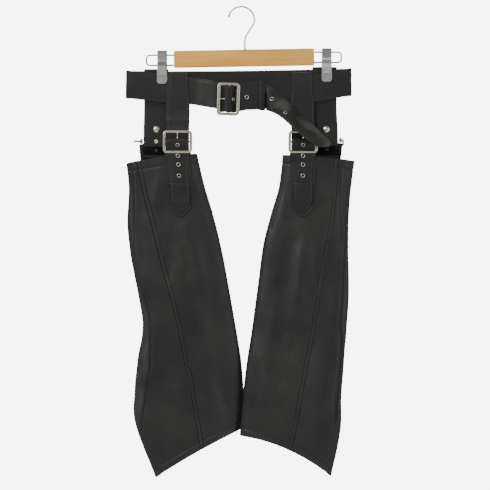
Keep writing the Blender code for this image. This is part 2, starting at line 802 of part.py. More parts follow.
def build_belt():
    behind_y = BUCKLE_Y + BUCKLE_T / 2 + GAP + BELT_T / 2
    anchored_y = behind_y + BELT_T + GAP
    wrap_r = math.hypot(BUCKLE_T, BUCKLE_CENTRE_BAR) / 2 + GAP + BELT_T / 2
    over_y = BUCKLE_Y - wrap_r - GAP - BELT_T
    bar_x = BUCKLE_X + BUCKLE_BAR_SHIFT

    path = arc((bar_x, BUCKLE_Y), wrap_r, 335, 90, 11)
    wrapped_y = BUCKLE_Y + wrap_r
    path += [(bar_x + 3.0, wrapped_y), (bar_x + 6.5, mix(wrapped_y, anchored_y, 0.25)),
             (bar_x + 10.0, mix(wrapped_y, anchored_y, 0.85)), (bar_x + 13.0, anchored_y),
             (-3.5, anchored_y)]
    for x in (12.0, 27.0, 43.0, 52.0, 60.0, 68.0, 77.0, 86.0, 110.0, 135.0, 160.0, 180.0):
        path.append((x, belt_front_y(x, anchored_y)))
    fold_r = (BELT_BACK_Y - BELT_FRONT_Y) / 2
    fold_y = (BELT_BACK_Y + BELT_FRONT_Y) / 2
    path += arc((BELT_RIGHT_X - fold_r, fold_y), fold_r, -90, 90, 8)
    for x in BACK_BELT_X:
        path.append((x, belt_back_y(x)))
    back_count = len(path)
    path += arc((BELT_LEFT_X + fold_r, fold_y), fold_r, 90, 270, 8)
    for x in (-180.0, -150.0, -120.0, -86.0, -77.0, -68.0, -60.0, -52.0, -45.0):
        path.append((x, belt_front_y(x, behind_y)))
    for x, forward in THROUGH_BUCKLE:
        path.append((x, mix(behind_y, over_y, forward)))

    right_fold = next(i for i, p in enumerate(path) if p[0] > BELT_RIGHT_X - 1.0)
    rows = []
    for i, (x, y) in enumerate(path):
        on_back = right_fold <= i < back_count
        top = table_at(BACK_TOP_Z if on_back else FRONT_TOP_Z, x)
        rows.append((x, y, top, BELT_W if on_back else front_belt_width(x)))
    stations = belt_stations(rows) + tail_stations(TAIL_ROWS)
    strap_solid("belt", stations, BELT_T, "belt_leather", cols=2)
    return behind_y, anchored_y, over_y


def build_belt_fittings(behind_y, anchored_y, over_y):
    loops = [rounded_rectangle(BUCKLE_W, BUCKLE_H, 7.0)]
    window_h = BUCKLE_H - 2 * BUCKLE_RAIL
    bar_at = BUCKLE_BAR_SHIFT
    inner = BUCKLE_W / 2 - BUCKLE_BAR
    for sign in (-1.0, 1.0):
        near = bar_at + sign * BUCKLE_CENTRE_BAR / 2
        far = sign * inner
        loops.append(rounded_rectangle(abs(far - near), window_h, 0.6, ((near + far) / 2, 0.0), 2))
    outline_object("belt_buckle", loops, BUCKLE_T, "nickel",
                   facing_front(BUCKLE_X, BUCKLE_Y, BUCKLE_Z, BUCKLE_TILT_DEG))

    front = over_y - BELT_T / 2 - GAP - PRONG_R
    tip = BUCKLE_Y - BUCKLE_T / 2 - GAP - PRONG_R
    prong = [(-22.0, front, BUCKLE_Z), (-27.0, front, BUCKLE_Z),
             (-33.0, mix(front, tip, 0.35) - 0.5, BUCKLE_Z),
             (-38.0, tip - 0.2, BUCKLE_Z), (-42.0, tip, BUCKLE_Z)]
    wire_object("belt_prong", smooth_path(prong, 3), PRONG_R, "nickel")

    depth = anchored_y - behind_y + BELT_T + 2 * GAP
    outer = rounded_rectangle(depth + 3.6, BELT_W + 4.6, 2.6, steps=3)
    hole = rounded_rectangle(depth, BELT_W + 2.4, 0.2, steps=1)
    centre = (KEEPER_X, (behind_y + anchored_y) / 2, table_at(FRONT_TOP_Z, KEEPER_X) - BELT_W / 2 + GAP)
    upright = Matrix.Rotation(math.radians(90), 4, "Z") @ Matrix.Rotation(math.radians(90), 4, "X")
    outline_object("belt_keeper", [outer, hole], KEEPER_W, "belt_leather",
                   Matrix.Translation(Vector(centre) * MM) @ upright)

    for k, (x, z) in enumerate(BELT_EYELETS):
        place_eyelet("belt_eyelet_%d" % (k + 1), belt_face_at(x, z, behind_y))


def belt_face_at(x, z, behind_y):
    """Place and facing of the free strap's front at a place seen from the front."""
    if x < 45.0:
        return Vector((x, behind_y - BELT_T / 2, z)), Vector((0.0, -1.0, 0.0))
    stations = tail_stations(TAIL_ROWS)
    for a, b in zip(stations, stations[1:]):
        if a.centre.x <= x <= b.centre.x:
            t = (x - a.centre.x) / (b.centre.x - a.centre.x)
            facing = a.normal.lerp(b.normal, t).normalized()
            if facing.y > 0.0:
                facing.negate()
            across = a.half_width.lerp(b.half_width, t)
            centre = a.centre.lerp(b.centre, t)
            beside = clamp((z - centre.z) / across.z, -0.5, 0.5)
            return centre + across * beside + facing * (BELT_T / 2), facing
    return stations[0].centre, stations[0].normal


EYELET_PROFILE = ((2.3, 0.9), (3.4, 0.9), (4.1, 0.3), (4.1, 0.0), (2.3, 0.0))
SNAP_PROFILE = ((0.0, 2.6), (2.7, 2.3), (4.8, 1.3), (5.6, 0.0), (0.0, 0.0))


def place_eyelet(name, face):
    point, facing = face
    turned_object(name, EYELET_PROFILE, 14, "nickel", point + facing * GAP, facing)


# Straps at the hips

HipLayers = namedtuple("HipLayers", "tab strap frame wrap_r over")


def hip_layers(side):
    """Depth of the layers at a hip buckle, from the wall forward."""
    wall = tab_wall_y(side, LEG_ROWS[side][0].inner_z - 10.0)
    tab = wall - GAP - TAB_T / 2
    strap = wall - 2 * GAP - TAB_T - STRAP_T / 2
    frame = strap - STRAP_T / 2 - GAP - HIP_T / 2
    wrap_r = math.hypot(HIP_T, HIP_CENTRE_BAR) / 2 + GAP + TAB_T / 2
    over = frame - wrap_r - TAB_T / 2 - GAP - STRAP_T / 2
    return HipLayers(tab, strap, frame, wrap_r, over)


def wall_relief(side):
    """How far the wall lies behind its most forward line, faded in below the leg's top."""
    def relief(point):
        top = LEG_ROWS[side][0].inner_z - 1.0
        if point.z > top:
            return 0.0
        fade = smooth((top - point.z) / 14.0)
        return fade * (skin_y(side, point.x, point.z) - TAB_CLEAR - tab_wall_y(side, point.z))
    return relief


TAB_RUN_Z = (-263.0, -267.0, -271.0, -276.0, -282.0, -292.0, -304.0, -316.0,
             -328.0, -337.0, -346.0, -354.0, -361.0, -366.0, -372.5, -379.0)
STRAP_TIP_Z = -346.0
TAB_HALF_W = ((-379.0, 4.5), (-366.0, 17.0), (-361.0, 19.6), (-268.0, 24.0),
              (-262.0, 23.5), (-256.0, 19.0))


def front_strap_path(side):
    """The eyelet strap from its sewn end behind the belt, over it and down to its tip."""
    strap = hip_layers(side).strap
    over = hip_layers(side).over
    top = max(table_at(FRONT_TOP_Z, STRAP_X[side] + reach) for reach in (-STRAP_HALF_W, STRAP_HALF_W))
    round_r = BELT_T / 2 + GAP + STRAP_T / 2
    front = BELT_FRONT_Y - round_r
    sewn = front + STRAP_T + GAP
    path = [(sewn, top - 76.0), (sewn, top - 66.0), (mix(sewn, BELT_FRONT_Y + round_r, 0.5), top - 61.0),
            (BELT_FRONT_Y + round_r, top - 55.0), (BELT_FRONT_Y + round_r, top - 25.0)]
    path += arc((BELT_FRONT_Y, top), round_r, 0, 180, 8)
    path += [(front, top - 25.0), (front, top - 55.0), (front, top - 78.0)]
    half = HIP_H / 2
    path += [(mix(front, strap, 0.45), -210.0), (mix(front, strap, 0.93), -219.0),
             (strap, HIP_Z + half - 1.0), (strap, HIP_Z + half - HIP_BAR - 1.5),
             (mix(strap, over, 0.5), HIP_Z + 8.0), (mix(strap, over, 0.93), HIP_Z + 4.0),
             (over, HIP_Z), (mix(strap, over, 0.93), HIP_Z - 4.0),
             (mix(strap, over, 0.5), HIP_Z - 8.0), (strap, HIP_Z - half + HIP_BAR + 1.5)]
    for z in TAB_RUN_Z:
        if z > STRAP_TIP_Z - 1.0:
            path.append((tab_wall_y(side, z) - 2 * GAP - TAB_T - STRAP_T / 2, z))
    return path


def build_front_strap(side):
    path = front_strap_path(side)

    def edges(z):
        lower = smooth((-195.0 - z) / 30.0)
        middle = mix(STRAP_X[side], hip_x(side, z), lower)
        half = mix(STRAP_TOP_HALF_W, STRAP_HALF_W, smooth((-150.0 - z) / 8.0))
        half = mix(half, BUCKLED_HALF_W, lower)
        half = mix(half, EYELET_STRAP_HALF_W, smooth((-254.0 - z) / 26.0))
        if z < STRAP_TIP_Z + 9.5:
            half = half * mix(0.5, 1.0, (z - STRAP_TIP_Z) / 9.5)
        return middle - half, middle + half

    strap_solid("front_strap_" + side, upright_stations(path, edges), STRAP_T, "black_leather",
                cols=2, relief=wall_relief(side))
    for k, z in enumerate(EYELET_Z):
        face = strap_face_at(path, hip_x(side, z), z, STRAP_T)
        place_eyelet("hip_eyelet_%s_%d" % (side, k + 1), face)


def strap_face_at(path, x, z, thickness):
    """Place and facing of an upright strap's last run at a height."""
    for (y0, z0), (y1, z1) in reversed(list(zip(path, path[1:]))):
        if z1 <= z <= z0:
            t = (z - z0) / (z1 - z0)
            run = math.hypot(y1 - y0, z1 - z0)
            facing = Vector((0.0, (z1 - z0) / run, -(y1 - y0) / run))
            return Vector((x, mix(y0, y1, t), z)) + facing * (thickness / 2), facing
    raise ValueError("no run of the strap at this height")


def build_hip_tab(side):
    layers = hip_layers(side)
    path = arc((layers.frame, HIP_Z), layers.wrap_r, 245, 0, 10)
    path += [(mix(layers.frame + layers.wrap_r, layers.tab, 0.4), HIP_Z - 6.0),
             (layers.tab, HIP_Z - 13.0)]
    for z in TAB_RUN_Z:
        path.append((tab_wall_y(side, z) - GAP - TAB_T / 2, z))

    def edges(z):
        half = table_at(TAB_HALF_W, z)
        return hip_x(side, z) - half, hip_x(side, z) + half

    strap_solid("hip_tab_" + side, upright_stations(path, edges), TAB_T, "black_leather",
                cols=4, relief=wall_relief(side))


POCKET_HALF_W = ((-370.0, 3.0), (-359.0, 15.5), (-352.0, 18.2), (-319.0, 19.2))
POCKET_COLUMNS = (-1.0, -0.93, -0.6, 0.0, 0.6, 0.93, 1.0)


def build_hip_pocket(side):
    """The five-sided keeper on the tab, raised where the strap's end lies under it."""
    outer = []
    inner = []
    for z in (-319.0, -327.0, -335.0, -342.0, -347.0, -352.0, -359.0, -364.0, -370.0):
        half = table_at(POCKET_HALF_W, z)
        outer_row = []
        inner_row = []
        for across in POCKET_COLUMNS:
            x = hip_x(side, z) + across * half
            raised = 1.0 if abs(across) < 0.99 and z > -356.0 else 0.0
            lift = (STRAP_T + GAP) * raised
            y = skin_y(side, x, z) - TAB_CLEAR - 2 * GAP - TAB_T - lift
            inner_row.append((x, y, z))
            outer_row.append((x, y - POCKET_T, z))
        outer.append(outer_row)
        inner.append(inner_row)
    wall_solid("hip_pocket_" + side, outer, inner, "black_leather")


def build_hip_buckle(side):
    frame = hip_layers(side).frame
    loops = [rounded_rectangle(HIP_W, HIP_H, 7.0)]
    inner_h = HIP_H / 2 - HIP_BAR
    for sign in (-1.0, 1.0):
        near = sign * HIP_CENTRE_BAR / 2
        far = sign * inner_h
        window = (HIP_W - 2 * HIP_BAR, abs(far - near))
        loops.append(rounded_rectangle(*window, 0.6, (0.0, (near + far) / 2), 2))
    outline_object("hip_buckle_" + side, loops, HIP_T, "nickel",
                   facing_front(HIP_X[side], frame, HIP_Z))
    start = hip_layers(side).over - STRAP_T / 2 - GAP - PRONG_R
    tip = frame - HIP_T / 2 - GAP - PRONG_R
    x = HIP_X[side]
    prong = [(x, start, HIP_Z - 1.0), (x, start, HIP_Z + 3.5),
             (x, mix(start, tip, 0.45) - 0.4, HIP_Z + 9.5),
             (x, tip - 0.2, HIP_Z + 14.5), (x, tip, HIP_Z + 19.0)]
    wire_object("hip_prong_" + side, smooth_path(prong, 3), PRONG_R, "nickel")


def back_strap_path(side):
    """The snap strap: front layer up, over the back belt, and down inside the leg's back."""
    x_top, x_low = BACK_STRAP_X[side]
    reaches = (-BACK_STRAP_HALF_W, BACK_STRAP_HALF_W)
    top = max(table_at(BACK_TOP_Z, x_top + reach) for reach in reaches)
    round_r = BELT_T / 2 + GAP + STRAP_T / 2
    skin = min(skin_y(side, x_low + reach, z, "back") for reach in reaches for z in (-255.0, -300.0))
    inside = skin - TURNED_WALL - 2 * GAP - STRAP_T / 2
    layer = STRAP_T + GAP
    behind = BELT_BACK_Y + round_r
    halfway = (mix(behind, inside, 0.5), top - 110.0)
    back_run = [(behind, top - 30.0), (behind, top - 56.0), (behind + 0.2, top - 80.0), halfway,
                (inside, -262.0), (inside, -280.0), (inside, -300.0)]
    front_run = []
    for y, z in ((inside, -272.0), (inside, -262.0), halfway,
                 (behind + 0.2, top - 80.0), (behind, top - 62.0)):
        front_run.append((y - layer, z))
    front_run += [(BELT_BACK_Y - round_r, top - 52.0), (BELT_BACK_Y - round_r, top - 30.0)]
    return front_run + arc((BELT_BACK_Y, top), round_r, 180, 0, 8) + back_run


def build_back_strap(side):
    path = back_strap_path(side)
    x_top, x_low = BACK_STRAP_X[side]

    def middle_x(z):
        return mix(x_top, x_low, smooth((-165.0 - z) / 90.0))

    def edges(z):
        x = middle_x(z)
        return x - BACK_STRAP_HALF_W, x + BACK_STRAP_HALF_W

    stations = upright_stations(path, edges)
    strap_solid("back_strap_" + side, stations, STRAP_T, "black_leather", cols=1)
    for k, z in enumerate(SNAP_Z):
        for (y0, z0), (y1, z1) in zip(path, path[1:]):
            if z0 <= z <= z1:
                t = (z - z0) / (z1 - z0)
                run = math.hypot(y1 - y0, z1 - z0)
                facing = Vector((0.0, -(z1 - z0) / run, (y1 - y0) / run))
                place = Vector((middle_x(z) + 1.5, mix(y0, y1, t), z))
                place += facing * (STRAP_T / 2 + GAP)
                size = 1.0 if k == 0 else 0.8
                profile = [(r * size, h * size) for r, h in SNAP_PROFILE]
                turned_object("snap_%s_%d" % (side, k + 1), profile, 16, "nickel", place, facing)
                break


# Hanger

def build_hanger():
    size = (BAR_L, BAR_T, BAR_H)
    box_object("hanger_bar", size, (BAR_X, 0.0, BAR_Z), "bar_wood", 2.0, BAR_TILT_DEG)
    centre = (0.0, WIRE_R - HOOK_R)
    ring = arc(centre, HOOK_R, 164, -22, 16)
    stem_x = 6.5
    bar_top = BAR_Z + BAR_H / 2 + GAP + 0.05
    ring += [(17.2, -37.8), (12.6, -44.8), (8.8, -51.2), (6.9, -57.5),
             (stem_x, -64.0), (stem_x, bar_top)]
    wire_object("hook", [(x, 0.0, z) for x, z in ring], WIRE_R, "steel_wire")
    for side in SIDES:
        build_wire_end(side)
        build_clip(side)


def build_wire_end(side):
    sign = -1.0 if side == "left" else 1.0
    bar_end = BAR_X + sign * (BAR_L / 2 + GAP)
    end = WIRE_END_X[side]
    top = WIRE_TOP_Z[side]
    low = top - WIRE_DROP
    radius = 6.0
    corner = end - sign * radius
    points = [(bar_end, top)]
    points += arc((corner, top - radius), radius, 90, 90 - sign * 90, 4)
    points += arc((corner, low + radius), radius, 90 - sign * 90, 90 - sign * 180, 4)
    points.append((bar_end, low))
    wire_object("hanger_wire_" + side, [(x, 0.0, z) for x, z in points], WIRE_R, "steel_wire")


def build_clip(side):
    x = CLIP_X[side]
    top = CLIP_TOP_Z[side]
    pad_top = PAD_Z_TOP[side]
    front_face = BELT_FRONT_Y - BELT_T / 2 - GAP
    back_face = BELT_BACK_Y + BELT_T / 2 + 2 * GAP + STRAP_T
    arm_t = 1.2
    for label, face, out in (("front", front_face, -1.0), ("back", back_face, 1.0)):
        pad_y = face + out * PAD_T / 2
        pad = rounded_rectangle(PAD_W, PAD_H, 6.0)
        outline_object("clip_pad_%s_%s" % (label, side), [pad], PAD_T, "clip_pad",
                       facing_front(x, pad_y, pad_top - PAD_H / 2))
        arm_y = face + out * (PAD_T + GAP + arm_t / 2)
        waist = out * (SPRING_R + GAP + arm_t / 2)
        path = [(out * 5.2, top), (waist, top - 3.5), (waist, top - 12.0), (waist, top - 20.0),
                (arm_y, pad_top + 2.0), (arm_y, pad_top - 14.0)]
        if out > 0:
            path = path[::-1]
        stations = upright_stations(path, lambda z: (x - CLIP_W / 2, x + CLIP_W / 2))
        strap_solid("clip_arm_%s_%s" % (label, side), stations, arm_t, "steel_wire")
    bar_hole = WIRE_R + GAP
    middle = WIRE_TOP_Z[side]
    ring = arc((0.0, 0.0), SPRING_R, 0, 345, 23)
    hole = arc((0.0, 0.0), bar_hole, 0, 330, 11)
    upright = Matrix.Rotation(math.radians(90), 4, "Z") @ Matrix.Rotation(math.radians(90), 4, "X")
    outline_object("clip_spring_" + side, [ring, hole], CLIP_W - 3.0, "steel_wire",
                   Matrix.Translation(Vector((x, 0.0, middle)) * MM) @ upright)


def main():
    for side in SIDES:
        build_leg(side)
        build_slider(side)
        build_hip_tab(side)
        build_hip_pocket(side)
        build_hip_buckle(side)
        build_front_strap(side)
        build_back_strap(side)
    build_belt_fittings(*build_belt())
    build_hanger()


clear_scene()
PARTS = new_collection("leather_chaps_on_a_clip_hanger")
main()
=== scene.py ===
"""Leather chaps on a wooden clip hanger: the dressed model, its stage and its camera.

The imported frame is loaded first, and every piece is made in that frame and rides on one of its bodies.
Sizes in the tables below are in millimetres. The front faces -Y, and the hook's inside top is the origin.
"""

import json
import math
from collections import namedtuple

import bmesh
import bpy
from bpy.props import FloatProperty, FloatVectorProperty, IntProperty, PointerProperty
from bpy.types import Operator, Panel, PropertyGroup
from mathutils import Matrix, Vector, noise

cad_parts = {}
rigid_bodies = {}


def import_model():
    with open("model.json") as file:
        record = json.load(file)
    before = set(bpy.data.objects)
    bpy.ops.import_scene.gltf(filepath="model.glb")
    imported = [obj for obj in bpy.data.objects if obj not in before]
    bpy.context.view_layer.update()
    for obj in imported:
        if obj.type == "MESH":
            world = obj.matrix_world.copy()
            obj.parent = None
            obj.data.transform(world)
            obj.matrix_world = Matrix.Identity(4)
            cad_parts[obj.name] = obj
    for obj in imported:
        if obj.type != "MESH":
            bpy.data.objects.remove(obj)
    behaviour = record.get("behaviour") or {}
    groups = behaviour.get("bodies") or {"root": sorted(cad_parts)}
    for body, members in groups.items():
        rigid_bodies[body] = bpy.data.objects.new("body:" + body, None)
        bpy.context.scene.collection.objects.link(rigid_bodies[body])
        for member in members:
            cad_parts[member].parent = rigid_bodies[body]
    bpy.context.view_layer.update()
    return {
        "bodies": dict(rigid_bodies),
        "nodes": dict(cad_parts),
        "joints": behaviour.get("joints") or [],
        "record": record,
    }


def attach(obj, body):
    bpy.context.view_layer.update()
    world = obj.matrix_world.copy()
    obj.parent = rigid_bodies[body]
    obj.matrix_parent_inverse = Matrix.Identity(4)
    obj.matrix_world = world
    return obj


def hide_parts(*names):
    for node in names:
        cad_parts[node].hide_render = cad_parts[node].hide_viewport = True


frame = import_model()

bl_info = {
    "name": "Leather chaps on a clip hanger",
    "version": (1, 0, 0),
    "blender": (4, 5, 0),
    "location": "3D View > Sidebar > Chaps",
    "description": "Builds leather chaps with their belt, straps, zips and clip hanger",
    "category": "Add Mesh",
}

CHAPS = "chaps"

MM = 0.001
GAP = 0.3

# Leather thicknesses
WALL = 1.8
TURNED_WALL = 3.2
BELT_T = 2.4
STRAP_T = 2.2
TAB_T = 2.0
POCKET_T = 1.8

# Belt
BELT_W = 50.0
BELT_FRONT_Y = -5.0
BELT_BACK_Y = 3.0
BELT_BOW_IN = 43.0
BELT_BOW_OUT = 86.0
BELT_LEFT_X = -208.0
BELT_RIGHT_X = 198.5

# Belt buckle
BUCKLE_X = -23.3
BUCKLE_Z = -167.0
BUCKLE_W = 41.0
BUCKLE_H = 59.0
BUCKLE_BAR = 5.6
BUCKLE_RAIL = 5.0
BUCKLE_TILT_DEG = -2.0
NARROWED_W = 47.4
BUCKLE_CENTRE_BAR = 2.4
BUCKLE_BAR_SHIFT = 0.8
BUCKLE_T = 2.4
BUCKLE_Y = -16.0
KEEPER_X = 37.5
KEEPER_W = 11.0

# Hip buckles
HIP_W = 53.0
HIP_H = 41.0
HIP_BAR = 5.0
HIP_CENTRE_BAR = 2.4
HIP_T = 2.4
TAB_CLEAR = 0.25
HIP_Z = -244.0
PRONG_R = 1.3

# Leg walls
TOP_BAND = 20.0
HEM_BAND = 18.0
LEG_ROUNDNESS = 2.6
ZIP_SLOT_HALF_W = 3.2
RIDGE_HEIGHT = 1.6
RIDGE_REACH = 7.0
ZIP_FROM_EDGE = 29.0

# Hanger
BAR_L = 254.0
BAR_H = 30.5
BAR_X = 5.0
BAR_Z = -91.8
HOOK_R = 23.5
WIRE_R = 1.5
WIRE_END_X = {"left": -171.5, "right": 181.0}
WIRE_TOP_Z = {"left": -86.5, "right": -81.0}
WIRE_DROP = 18.5
CLIP_X = {"left": -143.2, "right": 154.5}
CLIP_W = 17.5
CLIP_TOP_Z = {"left": -79.0, "right": -75.0}
SPRING_R = 6.4
PAD_Z_TOP = {"left": -110.0, "right": -106.5}
PAD_H = 29.0
PAD_W = 19.0
PAD_T = 3.0

SIDES = ("left", "right")

LegRow = namedtuple(
    "LegRow", "inner_x inner_z outer_x outer_z seam ridge depth inner_y outer_y bow")

LEG_ROWS = {
    "left": (
        LegRow(-79.6, -264.6, -208.0, -282.2, 0.850, 0.900, 24.0, 0.0, 0.0, 2.5),
        LegRow(-66.6, -321.6, -204.0, -330.7, 0.817, 0.893, 26.0, 0.0, 0.0, 0.0),
        LegRow(-49.4, -379.0, -206.0, -392.0, 0.725, 0.880, 28.0, 0.0, 0.0, 0.0),
        LegRow(-34.9, -440.0, -199.8, -450.1, 0.692, 0.905, 30.0, 1.0, 0.0, 0.0),
        LegRow(-22.3, -506.3, -187.9, -513.5, 0.661, 0.920, 31.0, 3.0, 0.0, 0.0),
        LegRow(-10.5, -573.0, -179.0, -576.8, 0.622, 0.925, 32.0, 6.0, 0.0, 0.0),
        LegRow(-0.6, -634.8, -188.0, -638.4, 0.548, 0.905, 33.0, 9.0, 0.0, 0.0),
        LegRow(4.0, -690.0, -193.3, -698.0, 0.485, 0.910, 34.0, 10.0, 0.0, 0.0),
        LegRow(4.2, -729.5, -191.6, -752.0, 0.450, 0.935, 35.0, 10.0, 0.0, 1.0),
        LegRow(-1.0, -764.0, -155.8, -850.2, 0.466, 0.950, 36.0, 10.0, 0.0, 4.0),
    ),
    "right": (
        LegRow(74.6, -266.8, 205.3, -278.0, 0.773, 0.880, 24.0, 0.0, 0.0, 2.0),
        LegRow(68.2, -323.0, 198.6, -328.0, 0.800, 0.909, 26.0, 0.0, 0.0, 0.0),
        LegRow(53.5, -374.1, 194.4, -379.0, 0.810, 0.925, 28.0, 0.0, 0.0, 0.0),
        LegRow(39.5, -430.0, 193.6, -434.0, 0.767, 0.940, 30.0, -1.0, 0.0, 0.0),
        LegRow(29.6, -504.0, 194.6, -507.0, 0.700, 0.950, 31.0, -3.0, 0.0, 0.0),
        LegRow(19.6, -577.0, 191.3, -581.0, 0.660, 0.955, 32.0, -6.0, 0.0, 0.0),
        LegRow(10.3, -638.4, 186.2, -643.0, 0.628, 0.940, 33.0, -9.0, 0.0, 0.0),
        LegRow(3.6, -694.0, 181.0, -703.5, 0.600, 0.905, 34.0, -10.0, 0.0, 0.0),
        LegRow(-0.5, -738.0, 179.7, -763.0, 0.565, 0.950, 35.0, -10.0, 0.0, 5.0),
        LegRow(-2.9, -774.0, 163.3, -847.6, 0.560, 0.970, 36.0, -10.0, 0.0, 14.0),
    ),
}

# Largest soft folds of the legs: a line, its reach across and its height, minus for a trough
Fold = namedtuple("Fold", "face x0 z0 x1 z1 reach height")

LEG_FOLDS = {
    "left": (
        Fold("front", -98.0, -400.0, -60.0, -520.0, 17.0, 2.6),
        Fold("front", -60.0, -455.0, -40.0, -640.0, 15.0, -2.2),
        Fold("front", -120.0, -520.0, -96.0, -680.0, 16.0, 2.2),
        Fold("front", -150.0, -600.0, -140.0, -790.0, 15.0, -2.4),
        Fold("front", -50.0, -640.0, -62.0, -760.0, 18.0, 2.8),
        Fold("back", -70.0, -400.0, -60.0, -640.0, 20.0, 2.4),
        Fold("back", -120.0, -480.0, -112.0, -760.0, 18.0, -2.6),
    ),
    "right": (
        Fold("front", 118.0, -400.0, 96.0, -560.0, 17.0, 2.6),
        Fold("front", 92.0, -430.0, 66.0, -620.0, 14.0, -2.2),
        Fold("front", 60.0, -560.0, 40.0, -740.0, 16.0, 2.4),
        Fold("front", 150.0, -560.0, 138.0, -790.0, 16.0, -2.2),
        Fold("front", 112.0, -640.0, 96.0, -780.0, 17.0, 2.6),
        Fold("back", 80.0, -420.0, 66.0, -660.0, 20.0, 2.4),
        Fold("back", 130.0, -470.0, 122.0, -770.0, 18.0, -2.6),
    ),
}

HIP_X = {"left": -114.8, "right": 111.3}
HIP_LEAN = {"left": 5.0, "right": -0.6}
STRAP_X = {"left": -115.0, "right": 110.0}
BACK_STRAP_X = {"left": (-154.0, -155.4), "right": (150.6, 153.8)}
STRAP_TOP_HALF_W = 18.4
STRAP_HALF_W = 21.6
BUCKLED_HALF_W = 21.0
EYELET_STRAP_HALF_W = 16.8
BACK_STRAP_HALF_W = 22.0
EYELET_Z = (-249.2, -269.0, -284.9, -305.0)
SNAP_Z = (-220.5, -242.5)
TAB_REACHES = (-24.0, -12.0, 0.0, 12.0, 24.0)


def mix(a, b, t):
    return a + (b - a) * t


def clamp(t, low=0.0, high=1.0):
    return max(low, min(high, t))


def smooth(t):
    t = clamp(t)
    return t * t * (3.0 - 2.0 * t)


def table_at(table, x):
    """Straight-line reading of a table of (x, value) rows sorted by rising x."""
    if x <= table[0][0]:
        return table[0][1]
    for (x0, y0), (x1, y1) in zip(table, table[1:]):
        if x <= x1:
            return mix(y0, y1, (x - x0) / (x1 - x0))
    return table[-1][1]


def cubic(a, b, c, d, t):
    return 0.5 * (2 * b + (c - a) * t + (2 * a - 5 * b + 4 * c - d) * t * t
                  + (3 * b - a - 3 * c + d) * t * t * t)


def smooth_path(points, per_span):
    """Points of a Catmull-Rom curve through a list of tuples."""
    ends = [tuple(2 * a - b for a, b in zip(points[0], points[1]))]
    ends += list(points)
    ends.append(tuple(2 * a - b for a, b in zip(points[-1], points[-2])))
    out = []
    for i in range(1, len(ends) - 2):
        p0, p1, p2, p3 = ends[i - 1:i + 3]
        for k in range(per_span):
            t = k / per_span
            out.append(tuple(cubic(a, b, c, d, t) for a, b, c, d in zip(p0, p1, p2, p3)))
    out.append(tuple(points[-1]))
    return out


def arc(centre, radius, start_deg, end_deg, steps):
    """Points of an arc in a plane, angles from its first axis to its second."""
    points = []
    for k in range(steps + 1):
        angle = math.radians(mix(start_deg, end_deg, k / steps))
        points.append((centre[0] + radius * math.cos(angle),
                       centre[1] + radius * math.sin(angle)))
    return points

Station = namedtuple("Station", "centre half_width normal")


def upright_stations(path, edges):
    """Stations of a strap that runs in the YZ plane. edges(z) gives its two X values."""
    stations = []
    last = len(path) - 1
    for i, (y, z) in enumerate(path):
        y0, z0 = path[max(i - 1, 0)]
        y1, z1 = path[min(i + 1, last)]
        run = math.hypot(y1 - y0, z1 - z0)
        normal = Vector((0.0, (z1 - z0) / run, -(y1 - y0) / run))
        x_low, x_high = edges(z)
        centre = Vector(((x_low + x_high) / 2, y, z))
        stations.append(Station(centre, Vector(((x_high - x_low) / 2, 0.0, 0.0)), normal))
    return stations


def rounded_rectangle(width, height, radius, centre=(0.0, 0.0), steps=4):
    points = []
    corners = ((1, 1, 0), (-1, 1, 90), (-1, -1, 180), (1, -1, 270))
    for sx, sy, start in corners:
        corner = (centre[0] + sx * (width / 2 - radius), centre[1] + sy * (height / 2 - radius))
        points += arc(corner, radius, start, start + 90, steps)
    return points


def leg_row(side, v):
    """The leg's cross row at v, 0 at the front's top edge and 1 at the hem."""
    rows = LEG_ROWS[side]
    place = v * (len(rows) - 1)
    if place <= 0.0:
        return LegRow(*(mix(a, b, place) for a, b in zip(rows[0], rows[1])))
    index = min(int(place), len(rows) - 2)
    before = rows[max(index - 1, 0)]
    after = rows[min(index + 2, len(rows) - 1)]
    t = place - index
    return LegRow(*(cubic(a, b, c, d, t)
                    for a, b, c, d in zip(before, rows[index], rows[index + 1], after)))


def fold_height(side, face, x, z):
    """How far the leg's folds stand out at a place on its face."""
    height = 0.0
    for fold in LEG_FOLDS[side]:
        if fold.face != face:
            continue
        dx = fold.x1 - fold.x0
        dz = fold.z1 - fold.z0
        along = clamp(((x - fold.x0) * dx + (z - fold.z0) * dz) / (dx * dx + dz * dz))
        away = math.hypot(x - fold.x0 - along * dx, z - fold.z0 - along * dz)
        height += fold.height * math.exp(-(away / fold.reach) ** 2)
    return height


def leg_point(side, theta, v):
    """A point on the leg's outer skin. theta is 0 at the inseam, pi at the outer fold."""
    row = leg_row(side, v)
    power = 2.0 / LEG_ROUNDNESS
    across = math.copysign(abs(math.cos(theta)) ** power, math.cos(theta))
    depth = math.copysign(abs(math.sin(theta)) ** power, math.sin(theta))
    u = (1.0 - across) / 2
    x = mix(row.inner_x, row.outer_x, u)
    z = mix(row.inner_z, row.outer_z, u) + row.bow * 4 * u * (1 - u)
    face = "front" if depth >= 0.0 else "back"
    swell = fold_height(side, face, x, z) * smooth(abs(depth) * 1.4 - 0.4)
    if face == "front":
        from_ridge = (u - row.ridge) * abs(row.outer_x - row.inner_x)
        swell += RIDGE_HEIGHT * math.exp(-(from_ridge / RIDGE_REACH) ** 2)
    half = row.depth / 2 + swell
    y = mix(row.inner_y, row.outer_y, u) - depth * half
    return Vector((x, y, z))


def leg_normal(side, theta, v):
    step = 1e-3
    along = leg_point(side, theta + step, v) - leg_point(side, theta - step, v)
    turn = 1.0 if side == "left" else -1.0
    return Vector((-along.y * turn, along.x * turn, 0.0)).normalized()


def theta_at(u, face="front"):
    """The section angle where the leg's skin is at u of its width."""
    across = 1.0 - 2.0 * u
    angle = math.acos(math.copysign(abs(across) ** (LEG_ROUNDNESS / 2), across))
    return angle if face == "front" else 2 * math.pi - angle


